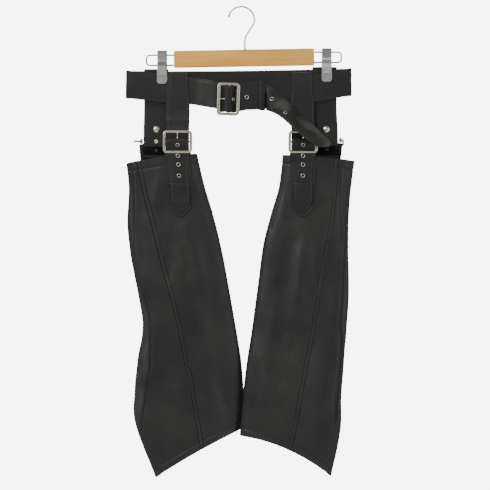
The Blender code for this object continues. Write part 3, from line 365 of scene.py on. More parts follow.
def theta_step(side, theta, v, distance):
    """The angle that moves a distance along the section."""
    step = 1e-3
    moved = leg_point(side, theta + step, v) - leg_point(side, theta - step, v)
    return distance * 2 * step / moved.length


def seam_theta(side, v):
    return theta_at(leg_row(side, v).seam)


def zip_theta(side, v):
    row = leg_row(side, v)
    u = 1.0 - ZIP_FROM_EDGE / abs(row.outer_x - row.inner_x)
    return theta_at(u, "back")


def inseam_theta(side, v):
    """Half the gap of the inseam, as an angle."""
    half_depth = leg_row(side, v).depth / 2
    return math.asin((GAP / half_depth) ** (LEG_ROUNDNESS / 2))


def row_length(side, u):
    """How much height one unit of v holds near the top and near the hem."""
    rows = LEG_ROWS[side]
    spans = len(rows) - 1
    heights = [mix(rows[k].inner_z, rows[k].outer_z, u) for k in (0, 1, -2, -1)]
    return (heights[0] - heights[1]) * spans, (heights[2] - heights[3]) * spans


def skin_u(theta):
    power = 2.0 / LEG_ROUNDNESS
    return (1.0 - math.copysign(abs(math.cos(theta)) ** power, math.cos(theta))) / 2

BACK_RISE = ((0.0, 0.0), (0.28, 1.0), (0.46, 24.0), (0.6, 28.5), (0.80, 28.0), (1.0, 0.0))


def skin_y(side, x, z, face="front"):
    """Y of the leg's outer skin at a place seen from the front."""
    v = 0.0
    theta = math.pi / 2
    for _ in range(12):
        row = leg_row(side, v)
        u = clamp((x - row.inner_x) / (row.outer_x - row.inner_x), 0.01, 0.99)
        theta = theta_at(u, face)
        point = leg_point(side, theta, v)
        v = v + (point.z - z) / 570.0
    return leg_point(side, theta, v).y


def hip_x(side, z):
    """Middle of the hip tab and of the strap on it, which lean below the buckle."""
    return HIP_X[side] + HIP_LEAN[side] * clamp((HIP_Z - 14.0 - z) / 96.0)


def tab_wall_y(side, z):
    """Y just forward of the wall across the hip tab at a height."""
    return min(skin_y(side, hip_x(side, z) + reach, z) for reach in TAB_REACHES) - TAB_CLEAR


def belt_front_y(x, middle_y):
    """Y of a front layer: level with the clips outside, forward near the buckle."""
    t = smooth((BELT_BOW_OUT - abs(x)) / (BELT_BOW_OUT - BELT_BOW_IN))
    return mix(BELT_FRONT_Y, middle_y, t)


def belt_back_y(x):
    return BELT_BACK_Y + 6.0 * smooth((120.0 - abs(x)) / 90.0)

FRONT_TOP_Z = (
    (-206.0, -114.5), (-185.0, -117.0), (-154.0, -120.2), (-117.0, -123.2), (-98.0, -124.2),
    (-75.0, -128.6), (-56.0, -132.0), (-46.0, -135.0), (-37.0, -143.0), (-10.0, -143.8),
    (-2.5, -138.0), (4.0, -136.6), (37.5, -135.1), (61.0, -131.9), (88.0, -126.6),
    (109.0, -123.6), (128.0, -121.6), (155.0, -117.2), (175.0, -113.6), (196.0, -110.5),
)

BACK_TOP_Z = (
    (-206.0, -114.5), (-150.0, -115.4), (-60.0, -114.5), (20.0, -113.6), (110.0, -112.4),
    (155.0, -111.4), (196.0, -110.5),
)

TailRow = namedtuple("TailRow", "upper_x upper_z lower_x lower_z upper_y width")

TAIL_ROWS = (
    TailRow(46.9, -140.1, 45.7, -187.9, -13.1, 50.0),
    TailRow(59.8, -149.1, 55.5, -192.1, -14.5, 50.0),
    TailRow(73.7, -160.7, 68.2, -199.1, -16.5, 50.0),
    TailRow(87.6, -174.8, 78.9, -207.9, -18.5, 50.0),
    TailRow(99.5, -189.3, 90.6, -219.0, -19.5, 50.0),
    TailRow(113.4, -201.8, 101.4, -228.4, -20.0, 50.0),
    TailRow(128.3, -213.8, 114.2, -239.7, -21.0, 48.5),
    TailRow(140.1, -224.9, 127.2, -248.3, -24.0, 40.0),
    TailRow(150.7, -235.7, 139.8, -254.3, -32.0, 26.0),
    TailRow(160.6, -248.2, 156.5, -253.9, -43.0, 9.0),
)

BELT_EYELETS = ((10.0, -163.5), (55.0, -168.0), (79.5, -193.5))

THROUGH_BUCKLE = ((-37.0, 0.0), (-34.2, 0.22), (-30.4, 0.82), (-27.2, 1.0), (-20.0, 1.0),
                  (-16.4, 0.78), (-12.8, 0.22), (-9.8, 0.0), (10.0, 0.0), (27.0, 0.0), (43.5, 0.0))

BACK_BELT_X = (172.0, 145.0, 120.0, 95.0, 70.0, 45.0, 20.0,
               -10.0, -40.0, -65.0, -90.0, -120.0, -150.0, -180.0)


def belt_lean(x, y):
    """The upward direction of the belt's width, leaning with the buckle beside it."""
    if y > BELT_FRONT_Y:
        return Vector((0.0, 0.0, 1.0))
    lean = -math.radians(BUCKLE_TILT_DEG) * smooth((42.0 - abs(x - BUCKLE_X)) / 14.0)
    return Vector((math.sin(lean), 0.0, math.cos(lean)))


def belt_stations(path):
    """Stations of an upright strap. path holds rows of (x, y, top z, width)."""
    stations = []
    last = len(path) - 1
    for i, (x, y, top, width) in enumerate(path):
        x0, y0 = path[max(i - 1, 0)][:2]
        x1, y1 = path[min(i + 1, last)][:2]
        run = math.hypot(x1 - x0, y1 - y0)
        normal = Vector((-(y1 - y0) / run, (x1 - x0) / run, 0.0))
        centre = Vector((x, y, top - width / 2))
        stations.append(Station(centre, belt_lean(x, y) * (width / 2), normal))
    return stations


def tail_stations(rows):
    """Stations of the twisting free end, whose true width never changes but at its tip."""
    places = []
    for row in rows:
        seen = math.hypot(row.upper_x - row.lower_x, row.upper_z - row.lower_z)
        forward = math.sqrt(max(row.width ** 2 - seen ** 2, 0.0))
        upper = Vector((row.upper_x, row.upper_y, row.upper_z))
        lower = Vector((row.lower_x, row.upper_y - forward, row.lower_z))
        places.append((upper, lower))
    stations = []
    last = len(places) - 1
    for i, (upper, lower) in enumerate(places):
        before = places[max(i - 1, 0)]
        after = places[min(i + 1, last)]
        along = (after[0] + after[1]) - (before[0] + before[1])
        across = (upper - lower) / 2
        normal = across.cross(along).normalized()
        stations.append(Station((upper + lower) / 2, across, normal))
    return stations


def front_belt_width(x):
    """The belt is squeezed where it goes through its buckle."""
    beside = clamp((abs(x - BUCKLE_X) - BUCKLE_W / 2 + 3.0) / 14.0)
    return mix(NARROWED_W, BELT_W, smooth(beside))


def belt_face_at(x, z, behind_y):
    """Place and facing of the free strap's front at a place seen from the front."""
    if x < 45.0:
        return Vector((x, behind_y - BELT_T / 2, z)), Vector((0.0, -1.0, 0.0))
    stations = tail_stations(TAIL_ROWS)
    for a, b in zip(stations, stations[1:]):
        if a.centre.x <= x <= b.centre.x:
            t = (x - a.centre.x) / (b.centre.x - a.centre.x)
            facing = a.normal.lerp(b.normal, t).normalized()
            if facing.y > 0.0:
                facing.negate()
            across = a.half_width.lerp(b.half_width, t)
            centre = a.centre.lerp(b.centre, t)
            beside = clamp((z - centre.z) / across.z, -0.5, 0.5)
            return centre + across * beside + facing * (BELT_T / 2), facing
    return stations[0].centre, stations[0].normal

HipLayers = namedtuple("HipLayers", "tab strap frame wrap_r over")


def hip_layers(side):
    """Depth of the layers at a hip buckle, from the wall forward."""
    wall = tab_wall_y(side, LEG_ROWS[side][0].inner_z - 10.0)
    tab = wall - GAP - TAB_T / 2
    strap = wall - 2 * GAP - TAB_T - STRAP_T / 2
    frame = strap - STRAP_T / 2 - GAP - HIP_T / 2
    wrap_r = math.hypot(HIP_T, HIP_CENTRE_BAR) / 2 + GAP + TAB_T / 2
    over = frame - wrap_r - TAB_T / 2 - GAP - STRAP_T / 2
    return HipLayers(tab, strap, frame, wrap_r, over)

TAB_RUN_Z = (-263.0, -267.0, -271.0, -276.0, -282.0, -292.0, -304.0, -316.0,
             -328.0, -337.0, -346.0, -354.0, -361.0, -366.0, -372.5, -379.0)

STRAP_TIP_Z = -346.0

TAB_HALF_W = ((-379.0, 4.5), (-366.0, 17.0), (-361.0, 19.6), (-268.0, 24.0),
              (-262.0, 23.5), (-256.0, 19.0))


def front_strap_path(side):
    """The eyelet strap from its sewn end behind the belt, over it and down to its tip."""
    strap = hip_layers(side).strap
    over = hip_layers(side).over
    top = max(table_at(FRONT_TOP_Z, STRAP_X[side] + reach) for reach in (-STRAP_HALF_W, STRAP_HALF_W))
    round_r = BELT_T / 2 + GAP + STRAP_T / 2
    front = BELT_FRONT_Y - round_r
    sewn = front + STRAP_T + GAP
    path = [(sewn, top - 76.0), (sewn, top - 66.0), (mix(sewn, BELT_FRONT_Y + round_r, 0.5), top - 61.0),
            (BELT_FRONT_Y + round_r, top - 55.0), (BELT_FRONT_Y + round_r, top - 25.0)]
    path += arc((BELT_FRONT_Y, top), round_r, 0, 180, 8)
    path += [(front, top - 25.0), (front, top - 55.0), (front, top - 78.0)]
    half = HIP_H / 2
    path += [(mix(front, strap, 0.45), -210.0), (mix(front, strap, 0.93), -219.0),
             (strap, HIP_Z + half - 1.0), (strap, HIP_Z + half - HIP_BAR - 1.5),
             (mix(strap, over, 0.5), HIP_Z + 8.0), (mix(strap, over, 0.93), HIP_Z + 4.0),
             (over, HIP_Z), (mix(strap, over, 0.93), HIP_Z - 4.0),
             (mix(strap, over, 0.5), HIP_Z - 8.0), (strap, HIP_Z - half + HIP_BAR + 1.5)]
    for z in TAB_RUN_Z:
        if z > STRAP_TIP_Z - 1.0:
            path.append((tab_wall_y(side, z) - 2 * GAP - TAB_T - STRAP_T / 2, z))
    return path


def strap_face_at(path, x, z, thickness):
    """Place and facing of an upright strap's last run at a height."""
    for (y0, z0), (y1, z1) in reversed(list(zip(path, path[1:]))):
        if z1 <= z <= z0:
            t = (z - z0) / (z1 - z0)
            run = math.hypot(y1 - y0, z1 - z0)
            facing = Vector((0.0, (z1 - z0) / run, -(y1 - y0) / run))
            return Vector((x, mix(y0, y1, t), z)) + facing * (thickness / 2), facing
    raise ValueError("no run of the strap at this height")

POCKET_HALF_W = ((-370.0, 3.0), (-359.0, 15.5), (-352.0, 18.2), (-319.0, 19.2))


def back_strap_path(side):
    """The snap strap: front layer up, over the back belt, and down inside the leg's back."""
    x_top, x_low = BACK_STRAP_X[side]
    reaches = (-BACK_STRAP_HALF_W, BACK_STRAP_HALF_W)
    top = max(table_at(BACK_TOP_Z, x_top + reach) for reach in reaches)
    round_r = BELT_T / 2 + GAP + STRAP_T / 2
    skin = min(skin_y(side, x_low + reach, z, "back") for reach in reaches for z in (-255.0, -300.0))
    inside = skin - TURNED_WALL - 2 * GAP - STRAP_T / 2
    layer = STRAP_T + GAP
    behind = BELT_BACK_Y + round_r
    halfway = (mix(behind, inside, 0.5), top - 110.0)
    back_run = [(behind, top - 30.0), (behind, top - 56.0), (behind + 0.2, top - 80.0), halfway,
                (inside, -262.0), (inside, -280.0), (inside, -300.0)]
    front_run = []
    for y, z in ((inside, -272.0), (inside, -262.0), halfway,
                 (behind + 0.2, top - 80.0), (behind, top - 62.0)):
        front_run.append((y - layer, z))
    front_run += [(BELT_BACK_Y - round_r, top - 52.0), (BELT_BACK_Y - round_r, top - 30.0)]
    return front_run + arc((BELT_BACK_Y, top), round_r, 180, 0, 8) + back_run


# Creases of the leather: a line on a leg's face, its reach across and its height, minus for a trough
Crease = namedtuple("Crease", "face x0 z0 x1 z1 reach height")

CREASES = {
    "left": (
        Crease("front", -109.0, -466.0, -131.0, -503.0, 6.0, 1.0),
        Crease("front", -129.0, -421.0, -124.0, -458.0, 6.5, -0.9),
        Crease("front", -152.0, -405.0, -140.0, -452.0, 5.0, 0.7),
        Crease("front", -92.0, -430.0, -104.0, -520.0, 8.0, -0.7),
        Crease("front", -82.0, -500.0, -66.0, -580.0, 10.0, 0.8),
        Crease("front", -50.0, -650.0, -22.0, -735.0, 11.0, -1.3),
        Crease("front", -118.0, -690.0, -76.0, -720.0, 12.0, 0.8),
        Crease("front", -168.0, -500.0, -160.0, -560.0, 7.0, -0.9),
        Crease("front", -176.0, -640.0, -170.0, -700.0, 6.0, 0.8),
        Crease("front", -186.0, -390.0, -178.0, -470.0, 6.0, -0.8),
        Crease("front", -145.0, -300.0, -160.0, -372.0, 9.0, 0.6),
        Crease("front", -181.0, -499.0, -168.0, -556.0, 3.6, -1.0),
        Crease("front", -168.0, -556.0, -164.0, -597.0, 3.6, -1.0),
        Crease("front", -164.0, -597.0, -166.0, -649.0, 3.6, -1.0),
        Crease("front", -166.0, -649.0, -175.0, -715.0, 3.6, -1.0),
        Crease("front", -175.0, -715.0, -182.0, -758.0, 3.6, -1.0),
        Crease("front", -192.0, -300.0, -191.0, -375.0, 3.2, 0.9),
        Crease("front", -198.0, -305.0, -196.0, -400.0, 2.6, -0.9),
        Crease("front", -98.0, -425.0, -88.0, -462.0, 5.0, 1.0),
        Crease("front", -116.0, -440.0, -110.0, -465.0, 4.0, 1.0),
        Crease("back", -95.0, -330.0, -112.0, -420.0, 9.0, -1.0),
        Crease("back", -140.0, -380.0, -128.0, -470.0, 8.0, 1.0),
        Crease("back", -60.0, -500.0, -82.0, -585.0, 9.0, 0.9),
        Crease("back", -120.0, -590.0, -92.0, -650.0, 8.0, -0.9),
        Crease("back", -50.0, -660.0, -30.0, -740.0, 12.0, -1.1),
        Crease("back", -150.0, -700.0, -118.0, -760.0, 11.0, 0.8),
    ),
    "right": (
        Crease("front", 116.0, -420.0, 126.0, -462.0, 7.0, 1.0),
        Crease("front", 134.0, -455.0, 138.0, -500.0, 6.0, -1.0),
        Crease("front", 90.0, -545.0, 102.0, -600.0, 10.0, -1.1),
        Crease("front", 84.0, -590.0, 98.0, -640.0, 9.0, 0.8),
        Crease("front", 78.0, -670.0, 70.0, -745.0, 7.0, 0.9),
        Crease("front", 56.0, -690.0, 48.0, -760.0, 8.0, -0.8),
        Crease("front", 30.0, -620.0, 52.0, -690.0, 10.0, 0.7),
        Crease("front", 166.0, -520.0, 160.0, -590.0, 7.0, -0.9),
        Crease("front", 172.0, -650.0, 158.0, -730.0, 8.0, 0.9),
        Crease("front", 150.0, -310.0, 160.0, -385.0, 8.0, 0.7),
        Crease("front", 178.0, -345.0, 181.0, -430.0, 5.0, -0.8),
        Crease("front", 190.0, -430.0, 178.4, -574.0, 3.2, -1.0),
        Crease("front", 178.4, -574.0, 184.0, -608.0, 3.2, -0.8),
        Crease("front", 184.0, -608.0, 175.6, -701.0, 3.2, -1.0),
        Crease("front", 175.6, -701.0, 171.0, -758.0, 3.2, -0.9),
        Crease("front", 171.0, -758.0, 161.0, -831.0, 3.2, -0.9),
        Crease("front", 186.0, -300.0, 184.0, -390.0, 3.0, 0.9),
        Crease("front", 104.0, -440.0, 104.0, -520.0, 6.0, 1.0),
        Crease("front", 122.0, -590.0, 140.0, -602.0, 3.0, 0.7),
        Crease("back", 96.0, -335.0, 108.0, -415.0, 9.0, 1.0),
        Crease("back", 142.0, -390.0, 126.0, -480.0, 8.0, -1.0),
        Crease("back", 66.0, -520.0, 90.0, -600.0, 9.0, -0.9),
        Crease("back", 118.0, -600.0, 96.0, -668.0, 8.0, 0.9),
        Crease("back", 46.0, -670.0, 34.0, -750.0, 12.0, 1.0),
        Crease("back", 150.0, -690.0, 128.0, -765.0, 11.0, -0.8),
    ),
}

# Distances from an edge, in millimetres, at which a panel has a row of points
SEAM_STEPS = (0.0, 0.5, 1.2, 2.4, 4.4, 5.8, 6.4, 7.0, 7.6, 8.4, 10.5)
INSEAM_STEPS = (0.0, 0.5, 1.4, 3.0, 5.4, 6.6, 7.2, 7.8, 9.4, 11.6, 12.2, 12.8, 15.0)
ZIP_STEPS = (0.0, 0.5, 1.2, 2.4, 3.4, 4.0, 4.6, 6.0)
TOP_STEPS = (0.0, 0.5, 1.2, 3.0, 8.0, 14.0, 18.0, 18.8, 19.4, 20.0, 20.8, 23.0)
HEM_STEPS = (0.0, 0.5, 1.2, 3.0, 8.0, 13.0, 15.6, 16.4, 17.0, 17.6, 18.4, 21.0)
JOIN_STEPS = (-2.4, -1.0, -0.4, 0.0, 0.4, 1.0, 2.4)
SEAM_LAP = 6.4
SEAM_STITCH = 7.0
INSEAM_STITCHES = (7.2, 12.2)
ZIP_STITCH = 4.0
TOP_STITCH = 19.4
HEM_STITCH = 17.0
INSEAM_ROW_END = {"left": -404.0, "right": -404.0}
JOIN_V = {"left": 0.574, "right": 0.426}
JOIN_DEPTH = 0.15
GROOVE_W = 0.75
GROOVE_DEPTH = 0.75
EDGE_ROLL = 1.2
EDGE_DROP = 0.9
CLEAR_OF_TAB = 27.0

EDGE_FITS = 120
EDGE_FIT_TOP = -0.1
UPPER_LINES = 42
LOWER_LINES = 52
CREASE_LIFT = 1.5
LEG_LENGTH = 590.0
LAP_HEIGHT = 0.75
JOIN_GROOVE_W = 0.7
INNER_CLEAR = 0.1
# Painted shade in the border line crease and in the join groove, as shares of near-black
BORDER_SHADE = 0.85
BORDER_FADE = 30.0
JOIN_SHADE = 0.6
EDGE_WEAR_REACH = 2.2
EDGE_WEAR = 0.3
RIDGE_WEAR_HEIGHT = 2.6
RIDGE_WEAR = 0.4
# Painted sheen on the strip outside the border line, as a share of the tint
STRIP_SHEEN_SHARE = {"left": 0.75, "right": 0.4}
BORDER_REACH = 1.9

Column = namedtuple("Column", "from_first from_last share")
Line = namedtuple("Line", "span value")
PanelPoint = namedtuple("PanelPoint", "theta v point normal from_first from_last line")
FAR = 99.0


def groove(distance, at):
    """Depth of the channel that a stitch row pulls into the leather."""
    return -GROOVE_DEPTH * math.exp(-((distance - at) / GROOVE_W) ** 2)


def edge_fall(distance):
    """How far a cut or turned edge rounds away."""
    if distance >= EDGE_ROLL:
        return 0.0
    return -EDGE_DROP * (1.0 - distance / EDGE_ROLL) ** 2


def crease_height(side, face, x, z):
    """Height of the small creases at a place, each fading out towards its ends."""
    height = 0.0
    for crease in CREASES[side]:
        if crease.face != face:
            continue
        dx = crease.x1 - crease.x0
        dz = crease.z1 - crease.z0
        run = math.hypot(dx, dz)
        along = ((x - crease.x0) * dx + (z - crease.z0) * dz) / (run * run)
        if along < -0.4 or along > 1.4:
            continue
        away = abs((x - crease.x0) * dz - (z - crease.z0) * dx) / run
        if away > crease.reach * 3.0:
            continue
        ends = smooth((along + 0.4) / 0.6) * smooth((1.4 - along) / 0.6)
        height += CREASE_LIFT * crease.height * ends * math.exp(-(away / crease.reach) ** 2)
    return height


def soft_waves(x, y, z):
    """Slight unevenness of a hide, in millimetres."""
    place = Vector((x * 0.018, y * 0.018, z * 0.011))
    return 0.9 * noise.noise(place) + 0.4 * noise.noise(place * 2.7)


def tab_cover(side, x, z):
    """1 where the hip tab lies on the leg, fading to 0 around it."""
    beside = (abs(x - hip_x(side, z)) - CLEAR_OF_TAB) / 9.0
    below = (-384.0 - z) / 12.0
    return 1.0 - smooth(max(beside, below, 0.0))


def edge_fits(side, first, last):
    """A panel's two edge angles, and the angle for one millimetre beside each, down the leg."""
    table = []
    for k in range(EDGE_FITS + 1):
        v = mix(EDGE_FIT_TOP, 1.0, k / EDGE_FITS)
        start = first(v)
        end = last(v)
        beside_start = theta_step(side, start + 0.03, v, 1.0)
        beside_end = theta_step(side, end - 0.03, v, 1.0)
        table.append((start, end, beside_start, beside_end))
    return table


def edge_fit_at(table, v):
    place = clamp((v - EDGE_FIT_TOP) / (1.0 - EDGE_FIT_TOP)) * EDGE_FITS
    index = min(int(place), EDGE_FITS - 1)
    t = place - index
    return [mix(a, b, t) for a, b in zip(table[index], table[index + 1])]


def panel_columns(near_first, near_last, across):
    columns = [Column(d, FAR, 0.0) for d in near_first]
    columns += [Column(FAR, FAR, k / across) for k in range(1, across)]
    columns += [Column(FAR, d, 1.0) for d in reversed(near_last)]
    return columns


def panel_lines():
    """The rows of points that every panel has: down from its top, past the join, to its hem."""
    lines = [Line("top", d) for d in TOP_STEPS]
    lines += [Line("upper", k / UPPER_LINES) for k in range(1, UPPER_LINES)]
    lines += [Line("join", d) for d in JOIN_STEPS]
    lines += [Line("lower", k / LOWER_LINES) for k in range(1, LOWER_LINES)]
    lines += [Line("hem", d) for d in reversed(HEM_STEPS)]
    return lines


def line_v(side, theta, line, rises):
    """Where a row of points lies on the leg at a section angle."""
    u = skin_u(theta)
    top_length, low_length = row_length(side, u)
    v_top = -table_at(BACK_RISE, u) / top_length if rises else 0.0
    join = JOIN_V[side]
    per_mm = 1.0 / LEG_LENGTH
    if line.span == "top":
        return v_top + line.value / top_length
    if line.span == "hem":
        return 1.0 - line.value / low_length
    if line.span == "join":
        return join + line.value * per_mm
    if line.span == "upper":
        return mix(v_top + TOP_STEPS[-1] / top_length, join + JOIN_STEPS[0] * per_mm, line.value)
    return mix(join + JOIN_STEPS[-1] * per_mm, 1.0 - HEM_STEPS[-1] / low_length, line.value)


def panel_points(side, first, last, near_first, near_last, across, rises):
    """A grid of PanelPoint over one panel of a leg."""
    fits = edge_fits(side, first, last)
    columns = panel_columns(near_first, near_last, across)
    grid = []
    for line in panel_lines():
        row = []
        v = 0.5
        for column in columns:
            for _ in range(3):
                start, end, beside_start, beside_end = edge_fit_at(fits, v)
                if column.from_first < FAR:
                    theta = start + column.from_first * beside_start
                elif column.from_last < FAR:
                    theta = end - column.from_last * beside_end
                else:
                    theta = mix(start + near_first[-1] * beside_start,
                                end - near_last[-1] * beside_end, column.share)
                v = line_v(side, theta, line, rises)
            row.append(PanelPoint(theta, v, leg_point(side, theta, v), leg_normal(side, theta, v),
                                  column.from_first, column.from_last, line))
        grid.append(row)
    return grid


def line_distance(line, span):
    return line.value if line.span == span else FAR


def panel_skin(side, p, stitches_first, stitches_last, lap, joined):
    """How far the finished skin stands off the plain one at a panel point."""
    from_top = line_distance(p.line, "top")
    from_hem = line_distance(p.line, "hem")
    face = "front" if p.theta <= math.pi else "back"
    x, y, z = p.point
    out = edge_fall(p.from_first) + edge_fall(p.from_last) + edge_fall(from_top) + edge_fall(from_hem)
    for at in stitches_first:
        if z > INSEAM_ROW_END[side] or at not in INSEAM_STITCHES:
            out += groove(p.from_first, at)
    for at in stitches_last:
        if z > INSEAM_ROW_END[side] or at not in INSEAM_STITCHES:
            out += groove(p.from_last, at)
    out += groove(from_top, TOP_STITCH) + groove(from_hem, HEM_STITCH)
    if lap:
        out += LAP_HEIGHT * (1.0 - smooth((p.from_last - SEAM_LAP + 0.8) / 1.2))
    if joined:
        out -= JOIN_DEPTH * math.exp(-(line_distance(p.line, "join") / JOIN_GROOVE_W) ** 2)
    soft = crease_height(side, face, x, z) + soft_waves(x, y, z)
    fixed = smooth((min(p.from_first, p.from_last) - 1.0) / 10.0) * smooth(min(from_top, from_hem) / 10.0)
    out += soft * mix(0.35, 1.0, fixed)
    cover = tab_cover(side, x, z) if face == "front" else 0.0
    return mix(out, min(out, -0.1), cover)


# Where the turned back edge shows beside a front face, as (z, x of its inner border) rows. Painted shade runs
# along this line, and painted sheen lies on the strip outside it.
FOLD_BORDER = {
    "left": ((-758.0, -182.0), (-715.0, -175.0), (-649.0, -166.0), (-597.0, -164.0), (-556.0, -168.0),
             (-499.0, -181.0)),
    "right": ((-758.0, 171.0), (-701.0, 175.6), (-608.0, 184.0), (-574.0, 178.4), (-430.0, 190.0)),
}


def border_shade(side, x, z):
    """How much painted shade lies in the crease along the border line, fading at its two ends."""
    rows = FOLD_BORDER[side]
    past = abs(x) - abs(table_at(rows, z))
    ends = smooth((z - rows[0][0] + 10.0) / BORDER_FADE) * smooth((rows[-1][0] - z) / BORDER_FADE)
    return BORDER_SHADE * ends * math.exp(-(past / BORDER_REACH) ** 2)


def lightened(side, x, z):
    """How much of the tint shows as painted sheen on the strip outside the border line, fading at its two
    ends.
    """
    rows = FOLD_BORDER[side]
    past = abs(x) - abs(table_at(rows, z))
    ends = smooth((z - rows[0][0] + 20.0) / 60.0) * smooth((rows[-1][0] - z + 10.0) / 50.0)
    return STRIP_SHEEN_SHARE[side] * smooth(past / 4.0) * ends


def panel_wall(grid, side, stitches_first, stitches_last, lap, joined):
    """Outer and inner rows of points of a panel, and on each outer point its wear with painted light: tint
    for rubbed edges, hem and ridges, painted sheen on the outer strip, and painted shade below zero.
    """
    outer = []
    inner = []
    wear_and_painted_light = []
    for row in grid:
        outer_row = []
        inner_row = []
        wear_and_painted_light_row = []
        for p in row:
            skin = panel_skin(side, p, stitches_first, stitches_last, lap, joined)
            ends = min(line_distance(p.line, "top"), line_distance(p.line, "hem"))
            deep = TURNED_WALL if ends <= HEM_BAND else WALL
            outer_row.append(p.point + p.normal * skin)
            inner_row.append(p.point - p.normal * (deep - INNER_CLEAR + max(0.0, -skin - 0.5)))
            edge = min(ends, p.from_first, p.from_last)
            hem = clamp(1.0 - line_distance(p.line, "hem") / HEM_STITCH) * 0.3
            # Painted sheen: the tint on the strip beside the outer fold.
            strip_sheen = lightened(side, p.point.x, p.point.z)
            wear_and_sheen = clamp(1.0 - edge / EDGE_WEAR_REACH) * EDGE_WEAR + strip_sheen + hem
            wear_and_sheen += clamp(skin / RIDGE_WEAR_HEIGHT) * RIDGE_WEAR
            # Painted shade along the border line crease and in the join groove.
            shade_share = border_shade(side, p.point.x, p.point.z)
            if joined and line_distance(p.line, "join") == 0.0:
                shade_share = JOIN_SHADE
            wear_and_painted_light_row.append(mix(wear_and_sheen, -1.0, shade_share))
        outer.append(outer_row)
        inner.append(inner_row)
        wear_and_painted_light.append(wear_and_painted_light_row)
    return outer, inner, wear_and_painted_light


# Meshes

def sizes():
    return bpy.context.scene.chaps_sizes


def colours():
    return bpy.context.scene.chaps_colours


def add_piece(name, mesh, materials, body=CHAPS, replaces=()):
    """Put a finished mesh in the scene, riding on its body."""
    piece = bpy.data.objects.new(name, mesh)
    bpy.context.scene.collection.objects.link(piece)
    for material in materials:
        mesh.materials.append(material)
    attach(piece, body)
    if replaces:
        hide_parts(*replaces)
    return piece


def new_mesh(name, verts_mm, faces, slots=None, wear_and_painted_light=None, sharp_deg=48.0):
    """A shaded mesh from points in millimetres, with a value on each point, if given, for wear together with
    painted sheen and painted shade.
    """
    mesh = bpy.data.meshes.new(name)
    mesh.from_pydata([(v[0] * MM, v[1] * MM, v[2] * MM) for v in verts_mm], [], faces)
    if slots:
        mesh.polygons.foreach_set("material_index", slots)
    work = bmesh.new()
    work.from_mesh(mesh)
    bmesh.ops.recalc_face_normals(work, faces=work.faces)
    work.to_mesh(mesh)
    work.free()
    layer = mesh.attributes.new("wear_and_painted_light", "FLOAT", "POINT")
    layer.data.foreach_set("value", wear_and_painted_light if wear_and_painted_light else [0.0] * len(mesh.vertices))
    mesh.shade_smooth()
    mesh.set_sharp_from_angle(angle=math.radians(sharp_deg))
    return mesh


def wall_mesh(name, outer, inner, wear_and_painted_light):
    """A closed wall between two grids. Its outer side and rims are slot 0, its inner side slot 1."""
    rows = len(outer)
    cols = len(outer[0])
    verts = [p for row in outer for p in row] + [p for row in inner for p in row]
    lower = rows * cols
    faces = []
    slots = []
    for r in range(rows - 1):
        for c in range(cols - 1):
            a = r * cols + c
            faces.append((a, a + 1, a + cols + 1, a + cols))
            faces.append((lower + a, lower + a + cols, lower + a + cols + 1, lower + a + 1))
            slots += [0, 1]
    for r in range(rows - 1):
        for c in (0, cols - 1):
            a = r * cols + c
            faces.append((a, a + cols, lower + a + cols, lower + a))
            slots.append(0)
    for c in range(cols - 1):
        for r in (0, rows - 1):
            a = r * cols + c
            faces.append((a, a + 1, lower + a + 1, lower + a))
            slots.append(0)
    values = [w for row in wear_and_painted_light for w in row]
    return new_mesh(name, verts, faces, slots, values + [0.0] * lower)


def swept_mesh(rings, closed=False):
    """Vertices and faces skinned over rings of points that all have the same count."""
    count = len(rings[0])
    verts = [p for ring in rings for p in ring]
    faces = []
    spans = len(rings) if closed else len(rings) - 1
    for r in range(spans):
        near = r * count
        far = (r + 1) % len(rings) * count
        for c in range(count):
            d = (c + 1) % count
            faces.append((near + c, near + d, far + d, far + c))
    if not closed:
        faces.append(tuple(range(count)))
        faces.append(tuple(range((len(rings) - 1) * count, len(rings) * count)))
    return verts, faces


def wire_rings(points, radii, sides=10):
    """Rings round a path, with radii per point. They keep their turn along the path."""
    rings = []
    last = len(points) - 1
    up = None
    for i, point in enumerate(points):
        along = (points[min(i + 1, last)] - points[max(i - 1, 0)]).normalized()
        if up is None:
            up = along.orthogonal().normalized()
        up = (up - along * up.dot(along)).normalized()
        side = along.cross(up)
        ring = []
        for k in range(sides):
            angle = 2 * math.pi * k / sides
            ring.append(point + (up * math.cos(angle) + side * math.sin(angle)) * radii[i])
        rings.append(ring)
    return rings


def wire_mesh(points, radius, sides=10, rounded=True, tip=None):
    """Vertices and faces of a round wire whose ends are domed. tip is the radius at its far end."""
    path = [Vector(p) for p in points]
    far = tip if tip is not None else radius
    radii = [mix(radius, far, i / (len(path) - 1)) for i in range(len(path))]
    if rounded:
        start = (path[0] - path[1]).normalized()
        end = (path[-1] - path[-2]).normalized()
        first = [path[0] + start * radii[0] * 0.6, path[0] + start * radii[0] * 0.9]
        final = [path[-1] + end * radii[-1] * 0.6, path[-1] + end * radii[-1] * 0.9]
        path = [first[1], first[0]] + path + final
        radii = [radii[0] * 0.35, radii[0] * 0.8] + radii + [radii[-1] * 0.8, radii[-1] * 0.35]
    return swept_mesh(wire_rings(path, radii, sides))


class Bundle:
    """Gathers many small forms into one mesh."""

    def __init__(self):
        self.verts = []
        self.faces = []

    def add(self, verts, faces):
        base = len(self.verts)
        self.verts += [tuple(v) for v in verts]
        self.faces += [tuple(base + i for i in face) for face in faces]

    def mesh(self, name, sharp_deg=48.0):
        return new_mesh(name, self.verts, self.faces, sharp_deg=sharp_deg)


# Stitches

STITCH_FORM = ((-0.5, 0.25), (-0.34, 0.9), (0.0, 1.0), (0.34, 0.9), (0.5, 0.25))
STITCH_SIDES = 5


